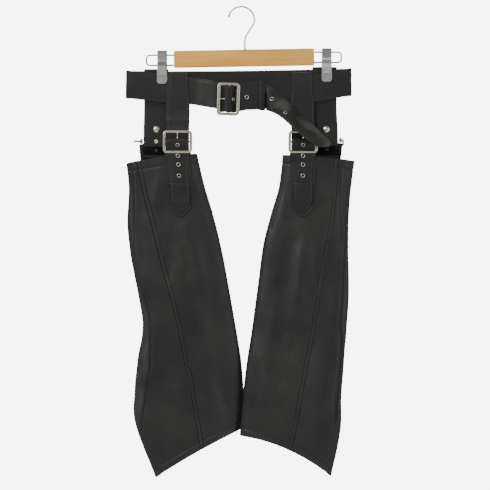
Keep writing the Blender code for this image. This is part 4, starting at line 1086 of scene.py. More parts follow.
def add_stitches(bundle, run, offset=0.05):
    """Thread lying in its channel along a run of (point, normal), in millimetres."""
    if len(run) < 2:
        return
    pitch = sizes().stitch_pitch / MM
    length = sizes().stitch_length / MM
    thread = sizes().thread_thickness / MM / 2
    lengths = [0.0]
    for a, b in zip(run, run[1:]):
        lengths.append(lengths[-1] + (b[0] - a[0]).length)
    count = int(lengths[-1] / pitch)
    index = 0
    for k in range(count):
        at = (k + 0.5) * pitch
        while lengths[index + 1] < at:
            index += 1
        span = max(lengths[index + 1] - lengths[index], 1e-6)
        t = (at - lengths[index]) / span
        point = run[index][0].lerp(run[index + 1][0], t)
        normal = run[index][1].lerp(run[index + 1][1], t).normalized()
        along = (run[index + 1][0] - run[index][0]).normalized()
        across = along.cross(normal).normalized()
        middle = point + normal * offset
        rings = []
        for place, width in STITCH_FORM:
            centre = middle + along * (place * length) - normal * (thread * abs(place) * 1.2)
            ring = []
            for s in range(STITCH_SIDES):
                angle = 2 * math.pi * s / STITCH_SIDES
                ring.append(centre + (across * math.cos(angle) + normal * math.sin(angle)) * thread * width)
            rings.append(ring)
        bundle.add(*swept_mesh(rings))


# Finishes

def node(tree, kind, x=0, y=0, **values):
    made = tree.nodes.new(kind)
    made.location = (x, y)
    for key, value in values.items():
        setattr(made, key, value)
    return made


PORE_COLOUR = (0.004, 0.004, 0.004, 1.0)
# Near-black of the painted shade in creases and joins
PAINTED_SHADE_COLOUR = (0.0015, 0.0015, 0.0015, 1.0)
TAPE_DARK = (0.006, 0.006, 0.006, 1.0)
TAPE_LIGHT = (0.028, 0.028, 0.03, 1.0)


def new_group(name, inputs, outputs):
    """A node group with its sockets. inputs and outputs are rows of (name, socket type, default)."""
    tree = bpy.data.node_groups.new(name, "ShaderNodeTree")
    for label, kind, default in inputs:
        socket = tree.interface.new_socket(name=label, in_out="INPUT", socket_type=kind)
        socket.default_value = default
    for label, kind in outputs:
        tree.interface.new_socket(name=label, in_out="OUTPUT", socket_type=kind)
    start = node(tree, "NodeGroupInput", -900)
    end = node(tree, "NodeGroupOutput", 700)
    return tree, start, end


def maths(tree, operation, a, b, x=0, y=0):
    made = node(tree, "ShaderNodeMath", x, y, operation=operation)
    for socket, value in zip(made.inputs, (a, b)):
        if isinstance(value, (int, float)):
            socket.default_value = value
        else:
            tree.links.new(value, socket)
    return made.outputs[0]


def mixed(tree, share, a, b, x=0, y=0, blend_type="MIX"):
    made = node(tree, "ShaderNodeMix", x, y, data_type="RGBA", blend_type=blend_type)
    sockets = (made.inputs[0], made.inputs[6], made.inputs[7])
    for socket, value in zip(sockets, (share, a, b)):
        if isinstance(value, (int, float, tuple)):
            socket.default_value = value
        else:
            tree.links.new(value, socket)
    return made.outputs[2]


def noise_node(tree, place, scale, detail=3.0, x=0, y=0, roughness=0.5):
    made = node(tree, "ShaderNodeTexNoise", x, y)
    made.inputs["Scale"].default_value = scale
    made.inputs["Detail"].default_value = detail
    made.inputs["Roughness"].default_value = roughness
    tree.links.new(place, made.inputs["Vector"])
    return made.outputs["Fac"]


def spread(tree, value, low, high, x=0, y=0):
    """Stretch a value between low and high to 0 to 1."""
    made = node(tree, "ShaderNodeMapRange", x, y, clamp=True)
    made.inputs["From Min"].default_value = low
    made.inputs["From Max"].default_value = high
    tree.links.new(value, made.inputs["Value"])
    return made.outputs["Result"]


def leather_group():
    """Pebbled hide: colour that varies over it, roughness and the height of its grain. The wear input above
    zero mixes in the tint for rubbed places and painted sheen; below zero it mixes in near-black painted
    shade.
    """
    name = "leather hide"
    if name in bpy.data.node_groups:
        return bpy.data.node_groups[name]
    tree, start, end = new_group(name, (
        ("Base", "NodeSocketColor", (0.02, 0.02, 0.02, 1.0)),
        ("Tint", "NodeSocketColor", (0.05, 0.045, 0.03, 1.0)),
        ("Tint Amount", "NodeSocketFloat", 0.4),
        ("Roughness", "NodeSocketFloat", 0.5),
        ("Wear And Painted Light", "NodeSocketFloat", 0.0),
        ("Grain Scale", "NodeSocketFloat", 700.0),
    ), (("Color", "NodeSocketColor"), ("Roughness", "NodeSocketFloat"), ("Height", "NodeSocketFloat")))
    place = node(tree, "ShaderNodeTexCoord", -900, -300).outputs["Object"]
    cells = node(tree, "ShaderNodeTexVoronoi", -600, -200, feature="SMOOTH_F1")
    cells.inputs["Smoothness"].default_value = 0.6
    tree.links.new(place, cells.inputs["Vector"])
    tree.links.new(start.outputs["Grain Scale"], cells.inputs["Scale"])
    fine = noise_node(tree, place, 1500.0, 2.0, -600, -420)
    broad = spread(tree, noise_node(tree, place, 7.0, 3.0, -600, 0), 0.40, 0.66, -400, 0)
    cloud = spread(tree, noise_node(tree, place, 34.0, 5.0, -600, 200), 0.35, 0.7, -400, 200)
    tinted = mixed(tree, maths(tree, "MULTIPLY", broad, start.outputs["Tint Amount"], -200, 60),
                   start.outputs["Base"], start.outputs["Tint"], 0, 120)
    # Wear and painted sheen: above zero the hide lightens towards the tint.
    wear_and_sheen = maths(tree, "MULTIPLY", maths(tree, "MAXIMUM", start.outputs["Wear And Painted Light"], 0.0, -200, 360),
                 maths(tree, "ADD", cloud, 0.3, -200, 260), 0, 300)
    lightened = mixed(tree, wear_and_sheen, tinted, start.outputs["Tint"], 200, 160)
    shade = spread(tree, cells.outputs["Distance"], 0.0, 0.75, -200, -160)
    pores = maths(tree, "MULTIPLY", shade, 0.35, 0, -120)
    darker = mixed(tree, pores, lightened, PORE_COLOUR, 400, 100)
    # Painted shade: below zero the hide darkens to near-black along creases and joins.
    painted_shade = maths(tree, "MULTIPLY", start.outputs["Wear And Painted Light"], -1.0, 400, 300)
    tree.links.new(mixed(tree, maths(tree, "MAXIMUM", painted_shade, 0.0, 500, 300), darker,
                         PAINTED_SHADE_COLOUR, 600, 100), end.inputs["Color"])
    gloss = maths(tree, "MULTIPLY", maths(tree, "SUBTRACT", cloud, 0.5, 0, -260), 0.16, 160, -260)
    rough = maths(tree, "ADD", start.outputs["Roughness"], gloss, 320, -260)
    smoothed = maths(tree, "MULTIPLY", start.outputs["Wear And Painted Light"], 0.08, 320, -360)
    polished = maths(tree, "SUBTRACT", rough, smoothed, 480, -260)
    tree.links.new(polished, end.inputs["Roughness"])
    pebble = maths(tree, "MULTIPLY", cells.outputs["Distance"], -1.0, -200, -420)
    tree.links.new(maths(tree, "ADD", pebble, maths(tree, "MULTIPLY", fine, 0.35, -200, -520), 0, -460),
                   end.inputs["Height"])
    return tree


def plated_group():
    """Plated metal: small stains and dulling, with fine scratches in its height."""
    name = "plated metal"
    if name in bpy.data.node_groups:
        return bpy.data.node_groups[name]
    tree, start, end = new_group(name, (
        ("Bright", "NodeSocketColor", (0.7, 0.68, 0.62, 1.0)),
        ("Stain", "NodeSocketColor", (0.3, 0.25, 0.16, 1.0)),
        ("Stain Amount", "NodeSocketFloat", 0.3),
        ("Roughness", "NodeSocketFloat", 0.25),
    ), (("Color", "NodeSocketColor"), ("Roughness", "NodeSocketFloat"), ("Height", "NodeSocketFloat")))
    place = node(tree, "ShaderNodeTexCoord", -900, -300).outputs["Object"]
    spots = spread(tree, noise_node(tree, place, 260.0, 5.0, -600, 100, 0.7), 0.48, 0.72, -400, 100)
    amount = maths(tree, "MULTIPLY", spots, start.outputs["Stain Amount"], -200, 100)
    tree.links.new(mixed(tree, amount, start.outputs["Bright"], start.outputs["Stain"], 0, 100),
                   end.inputs["Color"])
    dulled = maths(tree, "MULTIPLY", amount, 0.5, 0, -100)
    tree.links.new(maths(tree, "ADD", start.outputs["Roughness"], dulled, 200, -100),
                   end.inputs["Roughness"])
    stretch = node(tree, "ShaderNodeMapping", -700, -400)
    stretch.inputs["Scale"].default_value = (400.0, 2600.0, 2600.0)
    tree.links.new(place, stretch.inputs["Vector"])
    tree.links.new(noise_node(tree, stretch.outputs["Vector"], 1.0, 2.0, -400, -400), end.inputs["Height"])
    return tree


def start_material(name):
    material = bpy.data.materials.new(name)
    material.use_nodes = True
    tree = material.node_tree
    return material, tree, tree.nodes["Principled BSDF"]


def bump(tree, height, shader, strength, distance):
    made = node(tree, "ShaderNodeBump", -200, -300)
    made.inputs["Strength"].default_value = strength
    made.inputs["Distance"].default_value = distance
    tree.links.new(height, made.inputs["Height"])
    tree.links.new(made.outputs["Normal"], shader.inputs["Normal"])


def colour4(value):
    return (value[0], value[1], value[2], 1.0)


def leather_finish(name, base, tint, tint_amount, roughness, grain, relief, specular=0.5):
    if name in bpy.data.materials:
        return bpy.data.materials[name]
    material, tree, shader = start_material(name)
    hide = node(tree, "ShaderNodeGroup", -500, 100, node_tree=leather_group())
    hide.inputs["Base"].default_value = colour4(base)
    hide.inputs["Tint"].default_value = colour4(tint)
    hide.inputs["Tint Amount"].default_value = tint_amount
    hide.inputs["Roughness"].default_value = roughness
    hide.inputs["Grain Scale"].default_value = grain
    # The wear attribute holds wear, with painted sheen above zero and painted shade below zero.
    wear_and_painted_light = node(tree, "ShaderNodeAttribute", -750, 0, attribute_name="wear_and_painted_light")
    tree.links.new(wear_and_painted_light.outputs["Fac"], hide.inputs["Wear And Painted Light"])
    tree.links.new(hide.outputs["Color"], shader.inputs["Base Color"])
    tree.links.new(hide.outputs["Roughness"], shader.inputs["Roughness"])
    shader.inputs["Specular IOR Level"].default_value = specular
    bump(tree, hide.outputs["Height"], shader, 0.5, relief)
    return material


def metal_finish(name, bright, stain, stain_amount, roughness):
    if name in bpy.data.materials:
        return bpy.data.materials[name]
    material, tree, shader = start_material(name)
    plate = node(tree, "ShaderNodeGroup", -500, 100, node_tree=plated_group())
    plate.inputs["Bright"].default_value = colour4(bright)
    plate.inputs["Stain"].default_value = colour4(stain)
    plate.inputs["Stain Amount"].default_value = stain_amount
    plate.inputs["Roughness"].default_value = roughness
    tree.links.new(plate.outputs["Color"], shader.inputs["Base Color"])
    tree.links.new(plate.outputs["Roughness"], shader.inputs["Roughness"])
    shader.inputs["Metallic"].default_value = 1.0
    bump(tree, plate.outputs["Height"], shader, 0.08, 0.00006)
    return material


def leg_leather():
    c = colours()
    return leather_finish("chaps leather", c.leather, c.leather_tint, 0.3, 0.44, 900.0, 0.00022, 0.3)


def strap_leather():
    c = colours()
    return leather_finish("strap leather", c.leather, c.leather_tint, 0.2, 0.46, 1000.0, 0.00016, 0.26)


def belt_leather():
    c = colours()
    return leather_finish("belt leather", c.leather, c.belt_rub_and_sheen, 0.12, 0.5, 1000.0, 0.00014, 0.24)


def flesh_side():
    return leather_finish("leather flesh side", (0.010, 0.009, 0.008), (0.034, 0.026, 0.020), 0.7, 0.82,
                          1800.0, 0.0003, 0.15)


def shaded_leather():
    return leather_finish("leather in deep shade", (0.003, 0.003, 0.003), (0.008, 0.008, 0.007), 0.2, 0.7,
                          1000.0, 0.00016, 0.08)


def nickel():
    c = colours()
    return metal_finish("warm nickel plate", c.buckle, (0.22, 0.17, 0.10), 0.3, 0.2)


def eyelet_silver():
    return metal_finish("eyelet plate", (0.36, 0.36, 0.33), (0.14, 0.12, 0.10), 0.3, 0.25)


def shaded_nickel():
    return metal_finish("nickel plate in deep shade", (0.045, 0.042, 0.036), (0.02, 0.018, 0.014), 0.3, 0.4)


def hanger_steel():
    return metal_finish("hanger wire plate", (0.33, 0.32, 0.31), (0.13, 0.12, 0.11), 0.4, 0.25)


def zip_metal():
    return metal_finish("dull zip metal", (0.20, 0.20, 0.20), (0.07, 0.065, 0.06), 0.5, 0.4)


def thread_finish():
    name = "waxed black thread"
    if name in bpy.data.materials:
        return bpy.data.materials[name]
    material, tree, shader = start_material(name)
    place = node(tree, "ShaderNodeTexCoord", -700).outputs["Object"]
    strand = noise_node(tree, place, 4200.0, 1.0, -500)
    tree.links.new(mixed(tree, strand, (0.008, 0.008, 0.008, 1.0), (0.03, 0.03, 0.028, 1.0), -300),
                   shader.inputs["Base Color"])
    shader.inputs["Roughness"].default_value = 0.55
    bump(tree, strand, shader, 0.4, 0.0001)
    return material


def tape_finish():
    name = "woven zip tape"
    if name in bpy.data.materials:
        return bpy.data.materials[name]
    material, tree, shader = start_material(name)
    place = node(tree, "ShaderNodeTexCoord", -900).outputs["Object"]
    weave = node(tree, "ShaderNodeTexWave", -600, bands_direction="DIAGONAL")
    weave.inputs["Scale"].default_value = 900.0
    tree.links.new(place, weave.inputs["Vector"])
    tree.links.new(mixed(tree, weave.outputs["Fac"], TAPE_DARK, TAPE_LIGHT, -300),
                   shader.inputs["Base Color"])
    shader.inputs["Roughness"].default_value = 0.9
    bump(tree, weave.outputs["Fac"], shader, 0.5, 0.0001)
    return material


def wood_finish():
    name = "varnished hanger wood"
    if name in bpy.data.materials:
        return bpy.data.materials[name]
    material, tree, shader = start_material(name)
    place = node(tree, "ShaderNodeTexCoord", -1300).outputs["Object"]
    stretch = node(tree, "ShaderNodeMapping", -1100)
    stretch.inputs["Scale"].default_value = (5.0, 70.0, 70.0)
    tree.links.new(place, stretch.inputs["Vector"])
    figure = noise_node(tree, stretch.outputs["Vector"], 1.0, 6.0, -850, 100, 0.6)
    fibre_map = node(tree, "ShaderNodeMapping", -1100, -300)
    fibre_map.inputs["Scale"].default_value = (40.0, 1500.0, 1500.0)
    tree.links.new(place, fibre_map.inputs["Vector"])
    fibre = noise_node(tree, fibre_map.outputs["Vector"], 1.0, 3.0, -850, -300)
    c = colours()
    bands = spread(tree, figure, 0.36, 0.66, -650, 100)
    banded = mixed(tree, bands, colour4(c.wood), colour4(c.wood_grain), -400, 100)
    fibres = spread(tree, fibre, 0.5, 0.75, -650, -300)
    lines = maths(tree, "MULTIPLY", fibres, 0.35, -450, -250)
    lined = mixed(tree, lines, banded, colour4(c.wood_grain), -200, 50)
    tree.links.new(lined, shader.inputs["Base Color"])
    tree.links.new(maths(tree, "ADD", 0.36, maths(tree, "MULTIPLY", fibre, 0.2, -300, -420), -150, -420),
                   shader.inputs["Roughness"])
    shader.inputs["Specular IOR Level"].default_value = 0.25
    shader.inputs["Coat Weight"].default_value = 0.1
    shader.inputs["Coat Roughness"].default_value = 0.25
    bump(tree, fibre, shader, 0.2, 0.0001)
    return material


def pad_finish():
    name = "clear soft plastic"
    if name in bpy.data.materials:
        return bpy.data.materials[name]
    material, tree, shader = start_material(name)
    place = node(tree, "ShaderNodeTexCoord", -700).outputs["Object"]
    haze = noise_node(tree, place, 90.0, 3.0, -500)
    tree.links.new(mixed(tree, haze, (0.30, 0.31, 0.29, 1.0), (0.42, 0.43, 0.41, 1.0), -300),
                   shader.inputs["Base Color"])
    tree.links.new(maths(tree, "ADD", 0.22, maths(tree, "MULTIPLY", haze, 0.2, -300, -200), -100, -200),
                   shader.inputs["Roughness"])
    shader.inputs["Transmission Weight"].default_value = 0.35
    shader.inputs["IOR"].default_value = 1.45
    bump(tree, haze, shader, 0.1, 0.0002)
    return material


# Straps

STRAP_EDGE_STEPS = (0.0, 0.4, 1.0, 2.0, 2.7, 3.2, 3.7, 4.4)
STRAP_STITCH = 3.2
STRAP_GROOVE = 0.32
STRAP_EDGE_FALL = 0.6
STRAP_SMOOTHING = 3
LOOP_ROWS_Z = (-176.5, -181.0)
SHADE_Z = (-266.0, -246.5)


def smooth_stations(stations, per_span=STRAP_SMOOTHING):
    """More stations on a smooth line through the given ones."""
    rows = [(*s.centre, *s.half_width, *s.normal) for s in stations]
    made = []
    for row in smooth_path(rows, per_span):
        made.append(Station(Vector(row[:3]), Vector(row[3:6]), Vector(row[6:]).normalized()))
    return made


def strap_columns(between):
    """Places across a strap as (side, distance from that edge, share), left edge first."""
    columns = [(-1, d, 0.0) for d in STRAP_EDGE_STEPS]
    columns += [(0, 0.0, mix(-1.0, 1.0, k / between)) for k in range(1, between)]
    columns += [(1, d, 0.0) for d in reversed(STRAP_EDGE_STEPS)]
    return columns


def strap_grid(stations, thickness, face, between, relief=None, uneven=0.0, stitched=True):
    """Outer and inner points, wear and stitch runs of a strap. face is 1 or -1, the side that shows."""
    outer = []
    inner = []
    wear_and_painted_light = []
    runs = {-1: [], 1: []}
    edge_reach = STRAP_EDGE_STEPS[-1]
    for st in stations:
        half = st.half_width.length
        shrink = min(1.0, half / 14.0)
        facing = st.normal * face
        outer_row = []
        inner_row = []
        wear_and_painted_light_row = []
        for side, distance, share in strap_columns(between):
            away = distance * shrink
            if side:
                across = side * (1.0 - away / half)
            else:
                across = share * (1.0 - edge_reach * shrink / half)
                away = FAR
            point = st.centre + st.half_width * across
            if relief:
                point = point + Vector((0.0, relief(point), 0.0))
            skin = STRAP_EDGE_FALL * edge_fall(away)
            if stitched:
                skin -= STRAP_GROOVE * math.exp(-((away - STRAP_STITCH * shrink) / 0.55) ** 2)
            if uneven:
                skin += uneven * (noise.noise(point * 0.045) - 0.2) * smooth(min(away, 12.0) / 6.0)
            outer_row.append(point + facing * (thickness / 2 + skin))
            inner_row.append(point - facing * (thickness / 2 + 0.5 * STRAP_EDGE_FALL * edge_fall(away)))
            wear_and_painted_light_row.append(clamp(1.0 - away / 1.6) * 0.35)
            if side and abs(distance - STRAP_STITCH) < 0.01:
                runs[side].append((point + facing * (thickness / 2 + skin), facing.copy()))
        outer.append(outer_row)
        inner.append(inner_row)
        wear_and_painted_light.append(wear_and_painted_light_row)
    return outer, inner, wear_and_painted_light, runs


def cut_size(outer):
    """Width, length and area of a grid laid flat, in metres."""
    width = max(sum((b - a).length for a, b in zip(row, row[1:])) for row in outer)
    lines = list(zip(*outer))
    length = max(sum((b - a).length for a, b in zip(line, line[1:])) for line in lines)
    area = 0.0
    for upper, lower in zip(outer, outer[1:]):
        for c in range(len(upper) - 1):
            diagonal = lower[c + 1] - upper[c]
            area += (upper[c + 1] - upper[c]).cross(diagonal).length / 2
            area += (lower[c] - upper[c]).cross(diagonal).length / 2
    return width * MM, length * MM, area * MM * MM


def add_leather(name, outer, inner, wear_and_painted_light, finish, replaces, lining=None):
    mesh = wall_mesh(name, outer, inner, wear_and_painted_light)
    piece = add_piece(name, mesh, [finish, lining or flesh_side()], replaces=replaces)
    width, length, area = cut_size(outer)
    min(area, width * length)
    return piece


def add_thread(name, bundle):
    add_piece(name, bundle.mesh(name, 80.0), [thread_finish()])


# Legs

def leg_edges(side):
    """The edge angles of a leg's panels, each a little in from its seam."""
    def at_gap(edge, sign, half=GAP / 2):
        def angle(v):
            theta = edge(side, v)
            return theta + sign * theta_step(side, theta, v, half)
        return angle

    return {
        "inseam_front": lambda v: inseam_theta(side, v),
        "seam_front": at_gap(seam_theta, -1.0),
        "seam_side": at_gap(seam_theta, 1.0),
        "zip_side": at_gap(zip_theta, -1.0, ZIP_SLOT_HALF_W),
        "zip_back": at_gap(zip_theta, 1.0, ZIP_SLOT_HALF_W),
        "inseam_back": lambda v: 2 * math.pi - inseam_theta(side, v),
    }


ALLOWANCE_LINES = 70
ALLOWANCE_STEPS = (-5.0, -2.5, 0.0, 2.5, 5.0)
ALLOWANCE_T = 0.8
ALLOWANCE_CLEAR = 0.1

LegPanel = namedtuple(
    "LegPanel",
    "label first last near_first near_last rows_first rows_last across rises lap joined")

LEG_PANELS = (
    LegPanel("front", "inseam_front", "seam_front", INSEAM_STEPS, SEAM_STEPS,
             INSEAM_STITCHES, (SEAM_STITCH,), 24, False, True, False),
    LegPanel("side", "seam_side", "zip_side", SEAM_STEPS, ZIP_STEPS,
             (), (ZIP_STITCH,), 44, False, False, True),
    LegPanel("back", "zip_back", "inseam_back", ZIP_STEPS, INSEAM_STEPS,
             (ZIP_STITCH,), INSEAM_STITCHES, 26, True, False, True),
)


def column_run(grid, outer, near, distance, side, low_z=None):
    """A line of stitches down a panel at a distance from one edge."""
    index = None
    for c, p in enumerate(grid[0]):
        if abs((p.from_first if near == "first" else p.from_last) - distance) < 0.01:
            index = c
    run = []
    for row, points in zip(grid, outer):
        p = row[index]
        if line_distance(p.line, "top") < 1.0 or line_distance(p.line, "hem") < 1.0:
            continue
        if low_z is not None and p.point.z < low_z:
            break
        run.append((points[index], p.normal))
    return run


def row_run(grid, outer, span, distance):
    """A line of stitches across a panel at a distance from its top or hem."""
    for row, points in zip(grid, outer):
        if row[0].line.span == span and abs(row[0].line.value - distance) < 0.01:
            return [(point, p.normal) for point, p in zip(points, row)
                    if min(p.from_first, p.from_last) > 1.0]
    return []


def build_seam_allowance(side):
    """The edges of the front and side panels, turned in behind the long seam and glued flat."""
    outer = []
    inner = []
    wear_and_painted_light = []
    for k in range(ALLOWANCE_LINES + 1):
        v = mix(1.5, LEG_LENGTH - 1.5, k / ALLOWANCE_LINES) / LEG_LENGTH
        theta = seam_theta(side, v)
        step = theta_step(side, theta, v, 1.0)
        ends = min(v, 1.0 - v) * LEG_LENGTH
        below = mix(TURNED_WALL, WALL, smooth((ends - TOP_BAND - 1.0) / 3.0)) + ALLOWANCE_CLEAR
        outer_row = []
        inner_row = []
        for away in ALLOWANCE_STEPS:
            at = theta + away * step
            point = leg_point(side, at, v)
            normal = leg_normal(side, at, v)
            outer_row.append(point - normal * below)
            inner_row.append(point - normal * (below + ALLOWANCE_T))
        outer.append(outer_row)
        inner.append(inner_row)
        wear_and_painted_light.append([0.0] * len(outer_row))
    add_leather("seam_allowance_" + side, outer, inner, wear_and_painted_light, flesh_side(), ())


def build_leg(side):
    edges = leg_edges(side)
    thread = Bundle()
    for panel in LEG_PANELS:
        grid = panel_points(side, edges[panel.first], edges[panel.last], panel.near_first, panel.near_last,
                            panel.across, panel.rises)
        outer, inner, wear_and_painted_light = panel_wall(grid, side, panel.rows_first, panel.rows_last, panel.lap,
                                        panel.joined)
        name = "leather_%s_%s" % (panel.label, side)
        add_leather(name, outer, inner, wear_and_painted_light, leg_leather(),
                    ("leg_%s_%s" % (panel.label, side),))
        for near, rows in (("first", panel.rows_first), ("last", panel.rows_last)):
            for at in rows:
                low = INSEAM_ROW_END[side] if at in INSEAM_STITCHES else None
                add_stitches(thread, column_run(grid, outer, near, at, side, low))
        add_stitches(thread, row_run(grid, outer, "top", TOP_STITCH))
        add_stitches(thread, row_run(grid, outer, "hem", HEM_STITCH))
    add_thread("leg_stitching_" + side, thread)
    build_seam_allowance(side)


# Zips

ZIP_LINES = 180
TAPE_BELOW = 0.5
TAPE_T = 1.1
# The tape across the zip: away from its middle and below the skin, its sides lying under the panels
TAPE_SECTION = ((-4.4, 2.0), (-3.3, 2.0), (-2.6, 0.5), (-1.3, 0.5), (0.0, 0.5), (1.3, 0.5), (2.6, 0.5),
                (3.3, 2.0), (8.0, 2.0))
TOOTH_ACROSS = 1.7
TOOTH_ALONG = 0.95
TOOTH_DEEP = 1.1
TOOTH_SHIFT = 0.75
TOOTH_TAPER = 0.75


def zip_frames(side):
    """Points down the middle of a zip with their normal and their way across."""
    theta = zip_theta(side, 0.0)
    u = skin_u(theta)
    v_top = -table_at(BACK_RISE, u) / row_length(side, u)[0]
    frames = []
    for k in range(ZIP_LINES + 1):
        v = mix(v_top, 1.0, k / ZIP_LINES)
        theta = zip_theta(side, v)
        normal = leg_normal(side, theta, v)
        step = theta_step(side, theta, v, 1.0)
        across = (leg_point(side, theta + step, v) - leg_point(side, theta - step, v)).normalized()
        frames.append((leg_point(side, theta, v), normal, across))
    return frames

BLOCK_FACES = ((0, 1, 2, 3), (4, 7, 6, 5), (0, 4, 5, 1), (1, 5, 6, 2), (2, 6, 7, 3), (3, 7, 4, 0))


def build_zip(side):
    frames = zip_frames(side)
    outer = []
    inner = []
    wear_and_painted_light = []
    for point, normal, across in frames:
        outer.append([point + across * away - normal * below for away, below in TAPE_SECTION])
        inner.append([p - normal * TAPE_T for p in outer[-1]])
        wear_and_painted_light.append([0.0] * len(TAPE_SECTION))
    tape = wall_mesh("zip_tape_" + side, outer, inner, wear_and_painted_light)
    add_piece("zip_tape_" + side, tape, [tape_finish(), tape_finish()],
              replaces=("zip_chain_" + side,))
    teeth = Bundle()
    pitch = sizes().tooth_pitch / MM / 2
    travelled = 0.0
    count = 0
    for (a, normal, across), (b, _, _) in zip(frames, frames[1:]):
        span = (b - a).length
        along = (b - a).normalized()
        while travelled < span:
            sign = 1.0 if count % 2 else -1.0
            centre = a + along * travelled + across * (sign * TOOTH_SHIFT)
            centre -= normal * (TAPE_BELOW - TOOTH_DEEP / 2)
            corners = []
            for deep, taper in ((-0.5, 1.0), (0.5, TOOTH_TAPER)):
                for s, t in ((-1, -1), (1, -1), (1, 1), (-1, 1)):
                    corners.append(centre + normal * (deep * TOOTH_DEEP)
                                   + across * (s * TOOTH_ACROSS / 2 * taper)
                                   + along * (t * TOOTH_ALONG / 2 * taper))
            teeth.add(corners, BLOCK_FACES)
            travelled += pitch
            count += 1
        travelled -= span
    add_piece("zip_teeth_" + side, teeth.mesh("zip_teeth_" + side, 30.0), [zip_metal()])


# Hip straps, tabs and keepers

def station_relief(side):
    """The strap's relief on the leg, with the depth of the wall's front line kept from call to call."""
    kept = {}

    def relief(point):
        top = LEG_ROWS[side][0].inner_z - 1.0
        if point.z > top:
            return 0.0
        key = round(point.z * 2.0)
        if key not in kept:
            kept[key] = tab_wall_y(side, point.z)
        fade = smooth((top - point.z) / 14.0)
        return fade * (skin_y(side, point.x, point.z) - kept[key])
    return relief


def build_front_strap(side):
    path = front_strap_path(side)

    def edges(z):
        lower = smooth((-195.0 - z) / 30.0)
        middle = mix(STRAP_X[side], hip_x(side, z), lower)
        half = mix(STRAP_TOP_HALF_W, STRAP_HALF_W, smooth((-150.0 - z) / 8.0))
        half = mix(half, BUCKLED_HALF_W, lower)
        half = mix(half, EYELET_STRAP_HALF_W, smooth((-262.0 - z) / 40.0))
        if z < STRAP_TIP_Z + 9.5:
            half = half * mix(0.5, 1.0, (z - STRAP_TIP_Z) / 9.5)
        return middle - half, middle + half

    stations = smooth_stations(upright_stations(path, edges))
    outer, inner, wear_and_painted_light, runs = strap_grid(stations, STRAP_T, 1, 10, station_relief(side), 0.35)
    add_leather("hip_strap_" + side, outer, inner, wear_and_painted_light, strap_leather(),
                ("front_strap_" + side,))
    thread = Bundle()
    for run in runs.values():
        add_stitches(thread, run)
    top = max(range(len(outer)), key=lambda r: outer[r][0].z)
    for low in LOOP_ROWS_Z:
        row = min(range(top, len(outer)), key=lambda r: abs(outer[r][0].z - low))
        inside = outer[row][len(STRAP_EDGE_STEPS) - 1:-len(STRAP_EDGE_STEPS)]
        add_stitches(thread, [(p, Vector((0.0, -1.0, 0.0))) for p in inside])
    add_thread("hip_strap_stitching_" + side, thread)


def build_hip_tab(side):
    layers = hip_layers(side)
    path = arc((layers.frame, HIP_Z), layers.wrap_r, 245, 0, 10)
    path += [(mix(layers.frame + layers.wrap_r, layers.tab, 0.4), HIP_Z - 6.0),
             (layers.tab, HIP_Z - 13.0)]
    for z in TAB_RUN_Z:
        path.append((tab_wall_y(side, z) - GAP - TAB_T / 2, z))

    def edges(z):
        half = table_at(TAB_HALF_W, z)
        return hip_x(side, z) - half, hip_x(side, z) + half

    stations = smooth_stations(upright_stations(path, edges))
    outer, inner, wear_and_painted_light, runs = strap_grid(stations, TAB_T, 1, 14, station_relief(side), 0.1)
    add_leather("buckle_tab_" + side, outer, inner, wear_and_painted_light, strap_leather(),
                ("hip_tab_" + side,))
    thread = Bundle()
    for run in runs.values():
        add_stitches(thread, [(p, n) for p, n in run if p.z < HIP_Z - 14.0])
    add_thread("buckle_tab_stitching_" + side, thread)


def build_hip_pocket(side):
    """The five-sided keeper, softly raised over the strap's end under it."""
    outer = []
    inner = []
    wear_and_painted_light = []
    runs = {-1: [], 1: []}
    tip_z = -370.0
    mouth_z = -319.0
    lines = 30
    for r in range(lines + 1):
        z = mix(mouth_z, tip_z, r / lines)
        half = table_at(POCKET_HALF_W, z)
        rows = ([], [], [])
        for edge, distance, share in strap_columns(10):
            shrink = min(1.0, half / 14.0)
            away = distance * shrink if edge else FAR
            if edge:
                across = edge * (1.0 - away / half)
            else:
                across = share * (1.0 - STRAP_EDGE_STEPS[-1] * shrink / half)
            x = hip_x(side, z) + across * half
            raised = smooth((1.0 - abs(across)) / 0.1) * smooth((z + 361.0) / 8.0)
            y = skin_y(side, x, z) - 2 * GAP - TAB_T - (STRAP_T + GAP) * raised
            ends = min(abs(z - mouth_z), 6.0)
            skin = STRAP_EDGE_FALL * (edge_fall(away) + edge_fall(ends))
            skin -= STRAP_GROOVE * math.exp(-((away - STRAP_STITCH * shrink) / 0.55) ** 2)
            front = Vector((x, y - POCKET_T - skin, z))
            rows[0].append(front)
            rows[1].append(Vector((x, y, z)))
            rows[2].append(clamp(1.0 - min(away, ends) / 1.6))
            if edge and abs(distance - STRAP_STITCH) < 0.01:
                runs[edge].append((front, Vector((0.0, -1.0, 0.0))))
        outer.append(rows[0])
        inner.append(rows[1])
        wear_and_painted_light.append(rows[2])
    add_leather("strap_pocket_" + side, outer, inner, wear_and_painted_light, strap_leather(),
                ("hip_pocket_" + side,))
    thread = Bundle()
    for run in runs.values():
        add_stitches(thread, run)
    add_thread("strap_pocket_stitching_" + side, thread)


